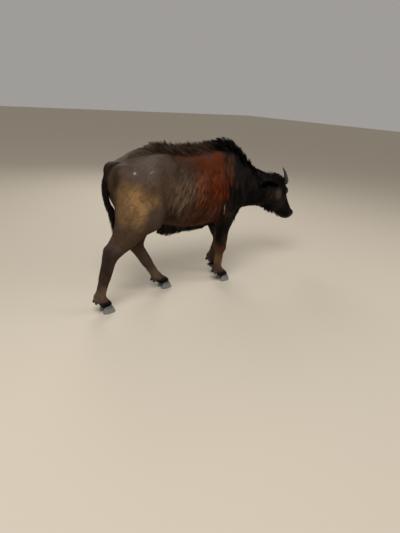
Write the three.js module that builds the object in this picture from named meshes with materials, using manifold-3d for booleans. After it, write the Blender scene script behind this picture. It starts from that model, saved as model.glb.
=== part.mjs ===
// A young water buffalo bull with a shaggy coat, walking with its head low.
// Millimetres. +X is forward, +Y the animal's left, +Z up, and the floor is z = 0.
// The skin is one smooth field of muscles and bones. It is turned into a faceted
// skin, the long coat is joined to it lock by lock, and thin cuts part the nodes.
import * as THREE from 'three';
import Module from 'manifold-3d';

const wasm = await Module();
wasm.setup();

// Driving dimensions
const GAP = 0.3;              // between nodes that touch
const BODY_STEP = 13;         // grid of the trunk and neck skin
const HEAD_STEP = 6;          // grid of the head skin
const FOOT_STEP = 7;          // grid of the skin below knees and hocks
const BODY_FACES = 2780;
const HEAD_FACES = 1820;
const FOOT_FACES = 1300;
const EYE_RADIUS = 18;
const HEAD_PITCH = 52;        // degrees, forehead to nose below the horizontal
const HEAD_YAW = -3;          // degrees, turned a little to the right
const POLL = [1147, -30, 862];
const HOOF_HEIGHT = 52;
const HOOF_LENGTH = 98;
const HOOF_WIDTH = 92;
const CORONET_SLOPE = 0.22;     // the top of the hoof rises towards the toe
const CORONET_MIDDLE = -56;     // behind the toe
const COAT_SHARE = 0.45;        // how far out the dense coat reaches, of the way to the tips
const LOCK_SUNK = 14;           // how deep a lock is rooted

// Trunk and neck by distance forward: x, back line, belly line, half width, middle line of the body
const TRUNK = [
  [-478, 950, 850, 34, 0],
  [-450, 990, 788, 88, 0],
  [-400, 1018, 706, 134, 0],
  [-330, 1050, 636, 166, 0],
  [-250, 1088, 608, 182, 0],
  [-150, 1112, 598, 190, 0],
  [-50, 1108, 568, 206, 0],
  [60, 1099, 530, 230, 0],
  [180, 1102, 514, 240, 0],
  [300, 1108, 510, 228, 0],
  [400, 1126, 518, 198, 0],
  [500, 1144, 536, 168, 0],
  [590, 1124, 564, 146, 0],
  [660, 1072, 590, 126, 0],
  [730, 1012, 610, 112, 0],
  [800, 960, 618, 104, -4],
  [880, 906, 618, 98, -10],
  [960, 880, 612, 94, -18],
  [1050, 868, 604, 88, -27],
  [1110, 856, 620, 76, -30],
  [1160, 820, 680, 46, -30],
];

// Head by distance from poll to nose: along, forehead line, jaw line, half width
const HEAD = [
  [-34, -36, -120, 36],
  [-12, -8, -160, 62],
  [20, 8, -196, 78],
  [60, 14, -226, 85],
  [105, 11, -238, 87],
  [150, 3, -230, 84],
  [195, -8, -210, 76],
  [240, -17, -190, 70],
  [285, -23, -166, 66],
  [330, -27, -150, 65],
  [365, -31, -143, 68],
  [395, -37, -141, 68],
  [418, -43, -135, 65],
  [434, -53, -124, 55],
  [442, -68, -108, 39],
];

// Joints of the legs: hip or shoulder, stifle or elbow, hock or knee, fetlock, toe, and tilt of the hoof
const LEGS = {
  hind_right: {
    hip: [-290, -128, 895], stifle: [-240, -160, 672], hock: [-519, -96, 412], fetlock: [-596, -84, 124],
    toe: [-489, -80, 0], tilt: 0, cut: 352, hind: true,
  },
  hind_left: {
    hip: [-290, 128, 895], stifle: [-78, 158, 655], hock: [-216, 74, 386], fetlock: [-42, 54, 106],
    toe: [86, 50, 0], tilt: 0, cut: 330, hind: true,
  },
  fore_right: {
    hip: [430, -118, 900], stifle: [458, -138, 572], hock: [476, -102, 320], fetlock: [476, -88, 117],
    toe: [604, -85, 0], tilt: 0, cut: 262, hind: false,
  },
  fore_left: {
    hip: [430, 118, 900], stifle: [512, 132, 576], hock: [640, 106, 318], fetlock: [562, 98, 150],
    toe: [624, 94, 0], tilt: 38, cut: 262, hind: false,
  },
};

const rad = THREE.MathUtils.degToRad;
const clamp = THREE.MathUtils.clamp;
const lerp = THREE.MathUtils.lerp;

// Repeatable draws for the coat
function draws(seed) {
  let state = seed;
  return () => {
    state = (state * 1664525 + 1013904223) % 4294967296;
    return state / 4294967296;
  };
}

// Joins two distances with a soft fillet, and carves one out of the other
function join(a, b, k) {
  const h = Math.max(k - Math.abs(a - b), 0) / k;
  return Math.min(a, b) - h * h * k / 4;
}
const carve = (a, b, k) => -join(-a, b, k);

// Distance to a tapered limb bone between two points, flattened sideways by flat
function bone(x, y, z, a, b, ra, rb, flat = 1) {
  const dx = b[0] - a[0];
  const dy = b[1] - a[1];
  const dz = b[2] - a[2];
  const px = x - a[0];
  const py = y - a[1];
  const pz = z - a[2];
  const t = clamp((px * dx + py * dy + pz * dz) / (dx * dx + dy * dy + dz * dz), 0, 1);
  return Math.hypot(px - t * dx, (py - t * dy) / flat, pz - t * dz) - ra - t * (rb - ra);
}

function ball(x, y, z, c, rx, ry, rz) {
  const k = Math.hypot((x - c[0]) / rx, (y - c[1]) / ry, (z - c[2]) / rz);
  return (k - 1) * Math.min(rx, ry, rz);
}

// Smooth curve through the rows of a table, read by its first column
function table(rows) {
  const last = rows.length - 1;
  return (x) => {
    let i = 0;
    while (i < last - 1 && x > rows[i + 1][0]) i += 1;
    const t = clamp((x - rows[i][0]) / (rows[i + 1][0] - rows[i][0]), 0, 1);
    const before = rows[Math.max(i - 1, 0)];
    const after = rows[Math.min(i + 2, last)];
    return rows[i].slice(1).map((value, j) => {
      const next = rows[i + 1][j + 1];
      const span = rows[i + 1][0] - rows[i][0];
      const rise = i > 0 ? (next - before[j + 1]) / (rows[i + 1][0] - before[0]) * span : next - value;
      const fall = i < last - 1 ? (after[j + 1] - value) / (after[0] - rows[i][0]) * span : next - value;
      const t2 = t * t;
      const t3 = t2 * t;
      return (2 * t3 - 3 * t2 + 1) * value + (t3 - 2 * t2 + t) * rise
        + (3 * t2 - 2 * t3) * next + (t3 - t2) * fall;
    });
  };
}

// Reads a table quickly: worked out once for every millimetre
function everyMillimetre(rows) {
  const read = table(rows);
  const from = rows[0][0];
  const to = rows[rows.length - 1][0];
  const values = [];
  for (let x = from; x <= to; x += 1) values.push(read(x));
  return { from, to, at: (x) => values[clamp(Math.round(x - from), 0, values.length - 1)] };
}

// Distance to a rounded section: top and bottom lines, half width, widest part a share of the way down
function section(y, z, top, bottom, width, share, upper, lower) {
  const middle = lerp(top, bottom, share);
  const height = z > middle ? top - middle : middle - bottom;
  const power = z > middle ? upper : lower;
  const across = Math.abs(y) / width;
  const along = Math.abs(z - middle) / height;
  const k = Math.max((across ** power + along ** power) ** (1 / power), 0.02);
  return Math.hypot(y, z - middle) * (1 - 1 / k) || -Math.min(width, height);
}

const trunkTable = everyMillimetre(TRUNK);
function trunk(x, y, z) {
  const [top, bottom, width, centre] = trunkTable.at(x);
  const beyond = Math.max(trunkTable.from - x, x - trunkTable.to, 0);
  const d = section(y - centre, z, top, bottom, width, 0.5, 1.85, 2.15);
  return beyond > 0 ? Math.hypot(Math.max(d, 0), beyond) : d;
}

// The head's own frame: along from poll to nose, to the left, and out of the forehead
const headAlong = new THREE.Vector3(
  Math.cos(rad(HEAD_PITCH)) * Math.cos(rad(HEAD_YAW)),
  Math.cos(rad(HEAD_PITCH)) * Math.sin(rad(HEAD_YAW)),
  -Math.sin(rad(HEAD_PITCH)),
);
const headLeft = new THREE.Vector3(-Math.sin(rad(HEAD_YAW)), Math.cos(rad(HEAD_YAW)), 0);
const headOut = new THREE.Vector3().crossVectors(headAlong, headLeft);
function toHead(x, y, z) {
  const px = x - POLL[0];
  const py = y - POLL[1];
  const pz = z - POLL[2];
  return [
    px * headAlong.x + py * headAlong.y + pz * headAlong.z,
    px * headLeft.x + py * headLeft.y + pz * headLeft.z,
    px * headOut.x + py * headOut.y + pz * headOut.z,
  ];
}
function fromHead(a, l, o) {
  return [
    POLL[0] + a * headAlong.x + l * headLeft.x + o * headOut.x,
    POLL[1] + a * headAlong.y + l * headLeft.y + o * headOut.y,
    POLL[2] + a * headAlong.z + l * headLeft.z + o * headOut.z,
  ];
}

const EYE = [142, 80, -34];   // in the head's frame, left side
const headTable = everyMillimetre(HEAD);
function head(x, y, z) {
  const [a, side, o] = toHead(x, y, z);
  const l = Math.abs(side);
  const [top, bottom, width] = headTable.at(a);
  const beyond = Math.max(headTable.from - a, a - headTable.to, 0);
  let d = section(l, o, top, bottom, width, 0.36, 2.5, 1.9);
  if (beyond > 0) d = Math.hypot(Math.max(d, 0), beyond);
  d = join(d, ball(a, l, o, [EYE[0] - 4, EYE[1] - 14, EYE[2] + 2], 38, 28, 30), 22);
  d = join(d, ball(a, l, o, [100, 56, -150], 78, 30, 62), 30);
  d = join(d, ball(a, l, o, [56, 64, -30], 44, 30, 36), 22);
  d = join(d, ball(a, l, o, [404, 42, -60], 32, 28, 30), 16);
  d = join(d, ball(a, l, o, [368, 0, -130], 40, 42, 22), 18);
  d = carve(d, ball(a, l, o, [300, 82, -74], 84, 22, 26), 26);
  d = carve(d, ball(a, l, o, [204, 92, -100], 56, 20, 24), 26);
  return d;
}

// Muscles and bones of one leg
const mix3 = (a, b, t) => [lerp(a[0], b[0], t), lerp(a[1], b[1], t), lerp(a[2], b[2], t)];
const shift = (a, dx, dy, dz) => [a[0] + dx, a[1] + dy, a[2] + dz];
function hindLeg(x, y, z, leg) {
  const side = Math.sign(leg.hip[1]);
  const heel = leg.point;
  let d = bone(x, y, z, leg.hip, leg.stifle, 128, 66, 0.62);
  d = join(d, bone(x, y, z, leg.seat, leg.ham, 104, 60, 0.72), 60);
  d = join(d, bone(x, y, z, leg.stifle, mix3(leg.stifle, leg.hock, 0.62), 66, 52, 0.78), 50);
  d = join(d, bone(x, y, z, mix3(leg.stifle, leg.hock, 0.5), leg.hock, 55, 48, 0.86), 30);
  d = join(d, bone(x, y, z, leg.hock, mix3(leg.hock, leg.fetlock, 0.5), 47, 39, 0.86), 20);
  d = join(d, bone(x, y, z, leg.ham, heel, 50, 19, 0.8), 44);
  d = join(d, bone(x, y, z, leg.hock, heel, 38, 24, 0.8), 22);
  d = join(d, ball(x, y, z, [leg.flankX, side * 188, 800], 90, 26, 150), 60);
  return lowerLeg(x, y, z, leg, d, 40, 35);
}
function foreLeg(x, y, z, leg) {
  const side = Math.sign(leg.hip[1]);
  const point = [590, side * 112, 720];
  let d = bone(x, y, z, [455, side * 92, 1030], [520, side * 118, 800], 66, 92, 0.62);
  d = join(d, bone(x, y, z, [520, side * 118, 800], point, 88, 66, 0.7), 50);
  d = join(d, bone(x, y, z, point, leg.stifle, 70, 72, 0.78), 50);
  d = join(d, bone(x, y, z, [400, side * 132, 760], leg.stifle, 70, 66, 0.6), 50);
  d = join(d, bone(x, y, z, leg.stifle, mix3(leg.stifle, leg.hock, 0.8), 67, 47, 0.86), 40);
  d = join(d, bone(x, y, z, mix3(leg.stifle, leg.hock, 0.7), leg.hock, 48, 46, 0.92), 20);
  d = join(d, ball(x, y, z, shift(leg.hock, 4, 0, -4), 49, 43, 50), 16);
  return lowerLeg(x, y, z, leg, d, 38, 33);
}
function lowerLeg(x, y, z, leg, above, rTop, rLow) {
  let d = join(above, bone(x, y, z, leg.hock, leg.fetlock, rTop, rLow, 0.88), 18);
  d = join(d, ball(x, y, z, shift(leg.fetlock, -4, 0, 0), 38, 38, 38), 18);
  d = join(d, bone(x, y, z, leg.fetlock, leg.pastern, 34, 38, 0.98), 18);
  const cleft = bone(x, y, z, leg.cleftTop, leg.cleftLow, 3, 9, 0.7);
  return carve(d, cleft, 10);
}

// Places on each leg worked out from its joints
for (const leg of Object.values(LEGS)) {
  const side = Math.sign(leg.hip[1]);
  const lean = rad(leg.tilt);
  // The hoof's own frame: forward along its sole, and up from it
  leg.ahead = [Math.cos(lean), 0, -Math.sin(lean)];
  leg.rise = [Math.sin(lean), 0, Math.cos(lean)];
  const along = (f, u) => [
    leg.toe[0] + leg.ahead[0] * f + leg.rise[0] * u,
    leg.toe[1],
    leg.toe[2] + leg.ahead[2] * f + leg.rise[2] * u,
  ];
  leg.inHoof = along;
  leg.pastern = along(-0.56 * HOOF_LENGTH, HOOF_HEIGHT * 0.9);
  leg.cleftTop = along(-0.1 * HOOF_LENGTH, HOOF_HEIGHT * 1.75);
  leg.cleftLow = along(-0.02 * HOOF_LENGTH, HOOF_HEIGHT * 0.7);
  if (leg.hind) {
    const shin = new THREE.Vector3(...leg.hock).sub(new THREE.Vector3(...leg.fetlock)).normalize();
    leg.point = shift(leg.hock, shin.x * 52 - 30 * shin.z, 0, shin.z * 52 + 30 * shin.x);
    const stretched = leg.toe[0] < leg.hip[0];
    leg.seat = [stretched ? -366 : -312, side * 92, 860];
    leg.ham = mix3([stretched ? -380 : -290, side * 104, 645], leg.point, 0.22);
    leg.flankX = leg.stifle[0] + 20;
  }
}

function legs(x, y, z) {
  let d = hindLeg(x, y, z, LEGS.hind_right);
  d = Math.min(d, hindLeg(x, y, z, LEGS.hind_left));
  d = Math.min(d, foreLeg(x, y, z, LEGS.fore_right));
  return Math.min(d, foreLeg(x, y, z, LEGS.fore_left));
}

// The whole skin
function skin(x, y, z) {
  let d = trunk(x, y, z);
  const yy = Math.abs(y);
  d = join(d, ball(x, yy, z, [-160, 150, 1036], 70, 30, 34), 110);
  d = join(d, ball(x, yy, z, [-418, 74, 970], 40, 30, 40), 70);
  d = join(d, ball(x, y, z, [20, 0, 524], 100, 30, 34), 40);
  d = join(d, ball(x, y, z, [585, 0, 590], 70, 62, 60), 60);
  if (x < 250) {
    const hind = Math.min(hindLeg(x, y, z, LEGS.hind_right), hindLeg(x, y, z, LEGS.hind_left));
    d = join(d, hind, 46);
  }
  if (x > 150) {
    const fore = Math.min(foreLeg(x, y, z, LEGS.fore_right), foreLeg(x, y, z, LEGS.fore_left));
    d = join(d, fore, 46);
  }
  if (x > 950) d = join(d, head(x, y, z), 40);
  return d;
}

// Where the coat is long: middle and reach of each patch, and its depth out to the tips
const COAT = [
  { at: [150, 0, 1105], reach: [420, 150, 90], depth: 22 },
  { at: [540, 0, 1120], reach: [230, 120, 120], depth: 34 },
  { at: [720, 0, 1030], reach: [210, 100, 110], depth: 46 },
  { at: [900, 0, 900], reach: [220, 90, 90], depth: 26 },
  { at: [440, 190, 800], reach: [230, 110, 270], depth: 18 },
  { at: [860, 90, 760], reach: [200, 60, 170], depth: 16 },
  { at: [1000, 0, 615], reach: [160, 100, 70], depth: 20 },
  { at: [180, 0, 520], reach: [380, 180, 90], depth: 18 },
];
const SHORT_COAT = 5;
function coatDepth(x, y, z) {
  let depth = 0;
  for (const patch of COAT) {
    const across = (Math.abs(y) - patch.at[1]) / patch.reach[1];
    const ahead = (x - patch.at[0]) / patch.reach[0];
    const above = (z - patch.at[2]) / patch.reach[2];
    const away = ahead ** 2 + across ** 2 + above ** 2;
    if (away < 1) depth = Math.max(depth, (patch.depth - SHORT_COAT) * (1 - away) * (1 + away));
  }
  return SHORT_COAT + depth * COAT_SHARE;
}
const coat = (x, y, z) => skin(x, y, z) - coatDepth(x, y, z);

// Turns a field into a closed faceted surface inside a box, cube by cube of six wedges
const CORNERS = [[0, 0, 0], [1, 0, 0], [0, 1, 0], [1, 1, 0], [0, 0, 1], [1, 0, 1], [0, 1, 1], [1, 1, 1]];
const WEDGES = [[0, 1, 3, 7], [0, 3, 2, 7], [0, 2, 6, 7], [0, 6, 4, 7], [0, 4, 5, 7], [0, 5, 1, 7]];
function surface(field, low, high, step) {
  const counts = [0, 1, 2].map((i) => Math.ceil((high[i] - low[i]) / step) + 1);
  const [nx, ny, nz] = counts;
  const values = new Float64Array(nx * ny * nz);
  const index = (i, j, k) => (i * ny + j) * nz + k;
  for (let i = 0; i < nx; i += 1) {
    for (let j = 0; j < ny; j += 1) {
      for (let k = 0; k < nz; k += 1) {
        const edge = i === 0 || j === 0 || k === 0 || i === nx - 1 || j === ny - 1 || k === nz - 1;
        const d = field(low[0] + i * step, low[1] + j * step, low[2] + k * step);
        values[index(i, j, k)] = edge ? Math.max(d, step * 0.5) : d || 1e-6;
      }
    }
  }
  const points = [];
  const faces = [];
  const made = new Map();
  const place = (n) => {
    const k = n % nz;
    const j = Math.floor(n / nz) % ny;
    const i = Math.floor(n / (nz * ny));
    return [low[0] + i * step, low[1] + j * step, low[2] + k * step];
  };
  const crossing = (inside, outside) => {
    const key = Math.min(inside, outside) * values.length + Math.max(inside, outside);
    if (!made.has(key)) {
      const t = clamp(values[inside] / (values[inside] - values[outside]), 0.05, 0.95);
      made.set(key, points.length / 3);
      points.push(...mix3(place(inside), place(outside), t));
    }
    return made.get(key);
  };
  const cell = new Array(8);
  for (let i = 0; i < nx - 1; i += 1) {
    for (let j = 0; j < ny - 1; j += 1) {
      for (let k = 0; k < nz - 1; k += 1) {
        let below = 0;
        for (let c = 0; c < 8; c += 1) {
          cell[c] = index(i + CORNERS[c][0], j + CORNERS[c][1], k + CORNERS[c][2]);
          if (values[cell[c]] < 0) below += 1;
        }
        if (below === 0 || below === 8) continue;
        for (const wedge of WEDGES) {
          const ins = wedge.filter((c) => values[cell[c]] < 0);
          const outs = wedge.filter((c) => values[cell[c]] >= 0);
          if (ins.length === 0 || outs.length === 0) continue;
          // A wedge's own handedness, with the inside corners first
          const order = ins.concat(outs);
          const odd = swaps(order, wedge) % 2;
          const ring = [];
          if (ins.length === 2) {
            ring.push([0, 2], [0, 3], [1, 3], [1, 2]);
          } else if (ins.length === 1) {
            ring.push([0, 1], [0, 2], [0, 3]);
          } else {
            ring.push([0, 3], [1, 3], [2, 3]);
          }
          const v = ring.map(([a, b]) => {
            const first = cell[order[a]];
            const second = cell[order[b]];
            return values[first] < 0 ? crossing(first, second) : crossing(second, first);
          });
          if (odd) v.reverse();
          faces.push(v[0], v[1], v[2]);
          if (v.length === 4) faces.push(v[0], v[2], v[3]);
        }
      }
    }
  }
  return { points, faces };
}

function swaps(order, wedge) {
  let count = 0;
  const at = order.map((c) => wedge.indexOf(c));
  for (let i = 0; i < 4; i += 1) {
    for (let j = i + 1; j < 4; j += 1) if (at[i] > at[j]) count += 1;
  }
  return count;
}

// Thins a closed surface to a number of faces, folding away the edges that change its shape least
function thin({ points, faces }, target) {
  const count = points.length / 3;
  const quadric = new Float64Array(count * 10);
  const alive = new Uint8Array(faces.length / 3).fill(1);
  const around = Array.from({ length: count }, () => []);
  const stamp = new Int32Array(count);
  const normal = (a, b, c, out) => {
    const ux = b[0] - a[0];
    const uy = b[1] - a[1];
    const uz = b[2] - a[2];
    const vx = c[0] - a[0];
    const vy = c[1] - a[1];
    const vz = c[2] - a[2];
    out[0] = uy * vz - uz * vy;
    out[1] = uz * vx - ux * vz;
    out[2] = ux * vy - uy * vx;
    return Math.hypot(out[0], out[1], out[2]);
  };
  const at = (v) => [points[v * 3], points[v * 3 + 1], points[v * 3 + 2]];
  const n = [0, 0, 0];
  for (let f = 0; f < alive.length; f += 1) {
    const corner = at(faces[f * 3]);
    const size = normal(corner, at(faces[f * 3 + 1]), at(faces[f * 3 + 2]), n) || 1e-9;
    const weight = size / 2;
    const q = [n[0] / size, n[1] / size, n[2] / size];
    q.push(-(q[0] * corner[0] + q[1] * corner[1] + q[2] * corner[2]));
    for (let c = 0; c < 3; c += 1) {
      const v = faces[f * 3 + c];
      around[v].push(f);
      let m = v * 10;
      for (let i = 0; i < 4; i += 1) for (let j = i; j < 4; j += 1) quadric[m++] += q[i] * q[j] * weight;
    }
  }
  const cost = (u, v, p) => {
    const q = new Array(10);
    for (let i = 0; i < 10; i += 1) q[i] = quadric[u * 10 + i] + quadric[v * 10 + i];
    const [x, y, z] = p;
    return q[0] * x * x + q[4] * y * y + q[7] * z * z + q[9]
      + 2 * (q[1] * x * y + q[2] * x * z + q[5] * y * z + q[3] * x + q[6] * y + q[8] * z);
  };
  const best = (u, v) => {
    const a = at(u);
    const b = at(v);
    const middle = mix3(a, b, 0.5);
    let choice = [middle, cost(u, v, middle)];
    const q = new Array(10);
    for (let i = 0; i < 10; i += 1) q[i] = quadric[u * 10 + i] + quadric[v * 10 + i];
    const det = q[0] * (q[4] * q[7] - q[5] * q[5]) - q[1] * (q[1] * q[7] - q[5] * q[2])
      + q[2] * (q[1] * q[5] - q[4] * q[2]);
    const reach = Math.hypot(a[0] - b[0], a[1] - b[1], a[2] - b[2]);
    if (Math.abs(det) > 1e-9 * (q[0] + q[4] + q[7]) ** 3) {
      const solve = (c) => c / det;
      const x = solve(-(q[3] * (q[4] * q[7] - q[5] * q[5]) - q[1] * (q[6] * q[7] - q[8] * q[5])
        + q[2] * (q[6] * q[5] - q[8] * q[4])));
      const y = solve(-(q[0] * (q[6] * q[7] - q[8] * q[5]) - q[3] * (q[1] * q[7] - q[5] * q[2])
        + q[2] * (q[1] * q[8] - q[6] * q[2])));
      const z = solve(-(q[0] * (q[4] * q[8] - q[5] * q[6]) - q[1] * (q[1] * q[8] - q[6] * q[2])
        + q[3] * (q[1] * q[5] - q[4] * q[2])));
      const p = [x, y, z];
      if (Math.hypot(x - middle[0], y - middle[1], z - middle[2]) < reach) choice = [p, cost(u, v, p)];
    }
    for (const p of [a, b]) {
      const c = cost(u, v, p);
      if (c < choice[1]) choice = [p, c];
    }
    return [choice[0], Math.max(choice[1], 0) + 2e-3 * reach ** 3];
  };
  // A heap of edges, cheapest first; stale ones are skipped by their stamps
  const heap = [];
  const push = (item) => {
    let i = heap.length;
    heap.push(item);
    while (i > 0) {
      const up = (i - 1) >> 1;
      if (heap[up].c <= item.c) break;
      heap[i] = heap[up];
      i = up;
    }
    heap[i] = item;
  };
  const pop = () => {
    const top = heap[0];
    const item = heap.pop();
    if (heap.length > 0) {
      let i = 0;
      while (true) {
        let child = i * 2 + 1;
        if (child >= heap.length) break;
        if (child + 1 < heap.length && heap[child + 1].c < heap[child].c) child += 1;
        if (heap[child].c >= item.c) break;
        heap[i] = heap[child];
        i = child;
      }
      heap[i] = item;
    }
    return top;
  };
  const neighbours = (v) => {
    const set = new Set();
    for (const f of around[v]) {
      if (alive[f]) for (let c = 0; c < 3; c += 1) if (faces[f * 3 + c] !== v) set.add(faces[f * 3 + c]);
    }
    return set;
  };
  const offer = (u, v) => {
    const [p, c] = best(u, v);
    push({ u, v, p, c, su: stamp[u], sv: stamp[v] });
  };
  for (let f = 0; f < alive.length; f += 1) {
    for (let c = 0; c < 3; c += 1) {
      const u = faces[f * 3 + c];
      const v = faces[f * 3 + (c + 1) % 3];
      if (u < v) offer(u, v);
    }
  }
  let left = alive.length;
  const m = [0, 0, 0];
  const folds = (v, other, p) => {
    for (const f of around[v]) {
      if (!alive[f]) continue;
      const ids = [faces[f * 3], faces[f * 3 + 1], faces[f * 3 + 2]];
      if (ids.includes(other)) continue;
      const old = ids.map(at);
      const was = normal(old[0], old[1], old[2], n);
      const now = ids.map((id) => (id === v ? p : at(id)));
      const is = normal(now[0], now[1], now[2], m);
      if (n[0] * m[0] + n[1] * m[1] + n[2] * m[2] < 0.6 * was * is || is < 1e-3) return true;
      const longest = Math.max(
        Math.hypot(now[0][0] - now[1][0], now[0][1] - now[1][1], now[0][2] - now[1][2]),
        Math.hypot(now[1][0] - now[2][0], now[1][1] - now[2][1], now[1][2] - now[2][2]),
        Math.hypot(now[2][0] - now[0][0], now[2][1] - now[0][1], now[2][2] - now[0][2]),
      );
      if (is < 0.08 * longest * longest && is / was < 0.9) return true;
    }
    return false;
  };
  while (left > target && heap.length > 0) {
    const { u, v, p, su, sv } = pop();
    if (stamp[u] !== su || stamp[v] !== sv) continue;
    const nu = neighbours(u);
    const nv = neighbours(v);
    let shared = 0;
    for (const w of nu) if (nv.has(w)) shared += 1;
    if (!nu.has(v) || shared !== 2 || folds(u, v, p) || folds(v, u, p)) continue;
    for (let i = 0; i < 3; i += 1) points[u * 3 + i] = p[i];
    for (let i = 0; i < 10; i += 1) quadric[u * 10 + i] += quadric[v * 10 + i];
    for (const f of around[v]) {
      if (!alive[f]) continue;
      const ids = [faces[f * 3], faces[f * 3 + 1], faces[f * 3 + 2]];
      if (ids.includes(u)) {
        alive[f] = 0;
        left -= 1;
      } else {
        faces[f * 3 + ids.indexOf(v)] = u;
        around[u].push(f);
      }
    }
    around[u] = around[u].filter((f) => alive[f]);
    around[v] = [];
    stamp[v] = -1;
    stamp[u] += 1;
    for (const w of neighbours(u)) {
      offer(Math.min(u, w), Math.max(u, w));
    }
  }
  const renumber = new Map();
  const outPoints = [];
  const outFaces = [];
  for (let f = 0; f < alive.length; f += 1) {
    if (!alive[f]) continue;
    for (let c = 0; c < 3; c += 1) {
      const v = faces[f * 3 + c];
      if (!renumber.has(v)) {
        renumber.set(v, outPoints.length / 3);
        outPoints.push(...at(v));
      }
      outFaces.push(renumber.get(v));
    }
  }
  return { points: outPoints, faces: outFaces };
}

// Closed solids that can be joined and cut
function solid({ points, faces }) {
  const mesh = new wasm.Mesh({
    numProp: 3, vertProperties: new Float32Array(points), triVerts: new Uint32Array(faces),
  });
  return new wasm.Manifold(mesh);
}

function boxSolid(low, high) {
  const points = CORNERS.flatMap((c) => c.map((bit, i) => (bit ? high[i] : low[i])));
  const faces = [0, 2, 3, 0, 3, 1, 4, 5, 7, 4, 7, 6, 0, 1, 5, 0, 5, 4, 2, 6, 7, 2, 7, 3, 0, 4, 6, 0, 6, 2,
    1, 3, 7, 1, 7, 5];
  return solid({ points, faces });
}

// Everything on the far side of a plane through a point, as a big block
const FAR = 4000;
function side(point, direction) {
  const z = new THREE.Vector3(...direction).normalize();
  const turn = new THREE.Quaternion().setFromUnitVectors(new THREE.Vector3(0, 0, 1), z);
  const points = CORNERS.flatMap((c) => {
    const corner = new THREE.Vector3(c[0] ? FAR : -FAR, c[1] ? FAR : -FAR, c[2] ? FAR : 0);
    return corner.applyQuaternion(turn).add(new THREE.Vector3(...point)).toArray();
  });
  const faces = [0, 2, 3, 0, 3, 1, 4, 5, 7, 4, 7, 6, 0, 1, 5, 0, 5, 4, 2, 6, 7, 2, 7, 3, 0, 4, 6, 0, 6, 2,
    1, 3, 7, 1, 7, 5];
  return solid({ points, faces });
}

// A solid through rings of points, closed at both ends
function loft(rings) {
  const count = rings[0].length;
  const points = rings.flat(2);
  const faces = [];
  for (let r = 0; r < rings.length - 1; r += 1) {
    for (let i = 0; i < count; i += 1) {
      const a = r * count + i;
      const b = r * count + (i + 1) % count;
      faces.push(a, b, b + count, a, b + count, a + count);
    }
  }
  const ends = [[0, -1], [rings.length - 1, 1]];
  for (const [r, way] of ends) {
    const middle = points.length / 3;
    const ring = rings[r];
    const centre = [0, 1, 2].map((i) => ring.reduce((sum, p) => sum + p[i], 0) / count);
    points.push(...centre);
    for (let i = 0; i < count; i += 1) {
      const a = r * count + i;
      const b = r * count + (i + 1) % count;
      if (way < 0) faces.push(b, a, middle);
      else faces.push(a, b, middle);
    }
  }
  if (volume({ points, faces }) < 0) {
    for (let f = 0; f < faces.length; f += 3) [faces[f], faces[f + 1]] = [faces[f + 1], faces[f]];
  }
  return { points, faces };
}

function volume({ points, faces }) {
  let sum = 0;
  for (let f = 0; f < faces.length; f += 3) {
    const [a, b, c] = [faces[f] * 3, faces[f + 1] * 3, faces[f + 2] * 3];
    sum += points[a] * (points[b + 1] * points[c + 2] - points[b + 2] * points[c + 1])
      - points[a + 1] * (points[b] * points[c + 2] - points[b + 2] * points[c])
      + points[a + 2] * (points[b] * points[c + 1] - points[b + 1] * points[c]);
  }
  return sum / 6;
}

function faceted(piece) {
  const mesh = piece.getMesh();
  return { points: Array.from(mesh.vertProperties), faces: Array.from(mesh.triVerts) };
}

// Of a solid that has come apart, only the largest closed surface is kept
function largest(piece) {
  return piece.decompose().map(faceted).sort((a, b) => volume(b) - volume(a))[0];
}

function along3(points) {
  return new THREE.CatmullRomCurve3(points.map((p) => new THREE.Vector3(...p)), false, 'centripetal');
}

// Rings of an oval or other section along a curve; radii and shape are read at each share of its length
const round = (angle) => [Math.cos(angle), Math.sin(angle)];
function sweep(curve, steps, sides, radius, shape = round, start = new THREE.Vector3(0, 1, 0)) {
  const frames = curve.computeFrenetFrames(steps, false);
  const rings = [];
  let across = start;
  for (let i = 0; i <= steps; i += 1) {
    const t = i / steps;
    const centre = curve.getPointAt(t);
    const forward = frames.tangents[i];
    across = across.clone().sub(forward.clone().multiplyScalar(across.dot(forward))).normalize();
    const third = new THREE.Vector3().crossVectors(forward, across);
    const [ra, rb] = radius(t);
    const ring = [];
    for (let s = 0; s < sides; s += 1) {
      const [u, v] = shape(2 * Math.PI * s / sides, t);
      ring.push(centre.clone().addScaledVector(across, ra * u).addScaledVector(third, rb * v).toArray());
    }
    rings.push(ring);
  }
  return loft(rings);
}

// Eyes: a ball under lids, with an almond opening cut through the lids
const ballPoints = (centre, radius, across, rows) => {
  const rings = [];
  for (let i = 0; i <= rows; i += 1) {
    const a = Math.PI * clamp(i / rows, 0.03, 0.97);
    const ring = [];
    for (let s = 0; s < across; s += 1) {
      const b = 2 * Math.PI * s / across;
      ring.push([
        centre[0] + radius * Math.sin(a) * Math.cos(b),
        centre[1] + radius * Math.sin(a) * Math.sin(b),
        centre[2] + radius * Math.cos(a),
      ]);
    }
    rings.push(ring);
  }
  return loft(rings);
};
const eyeCentre = (way) => fromHead(EYE[0], way * (EYE[1] - 2), EYE[2]);
const LID_OPENING = [17, 10.5];   // half its length and half its height
const LID_THICKNESS = { upper: 6.5, lower: 5 };
function lidPoint(way, turn, size, depth) {
  const u = Math.cos(turn) * LID_OPENING[0] * size;
  const v = Math.sin(turn) * LID_OPENING[1] * size * (1 - 0.25 * Math.abs(Math.cos(turn)));
  return fromHead(EYE[0] + u - v * 0.25, way * (EYE[1] - 6 + depth), EYE[2] + v + u * 0.25);
}
function eyeOpening(way) {
  // A lens as wide as the lids' opening, pushed in from outside
  const rings = [];
  for (const [depth, size] of [[-4, 0.72], [14, 1], [34, 1.25]]) {
    const ring = [];
    for (let s = 0; s < 12; s += 1) ring.push(lidPoint(way, 2 * Math.PI * s / 12, size, depth));
    rings.push(ring);
  }
  return loft(rings);
}
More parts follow.
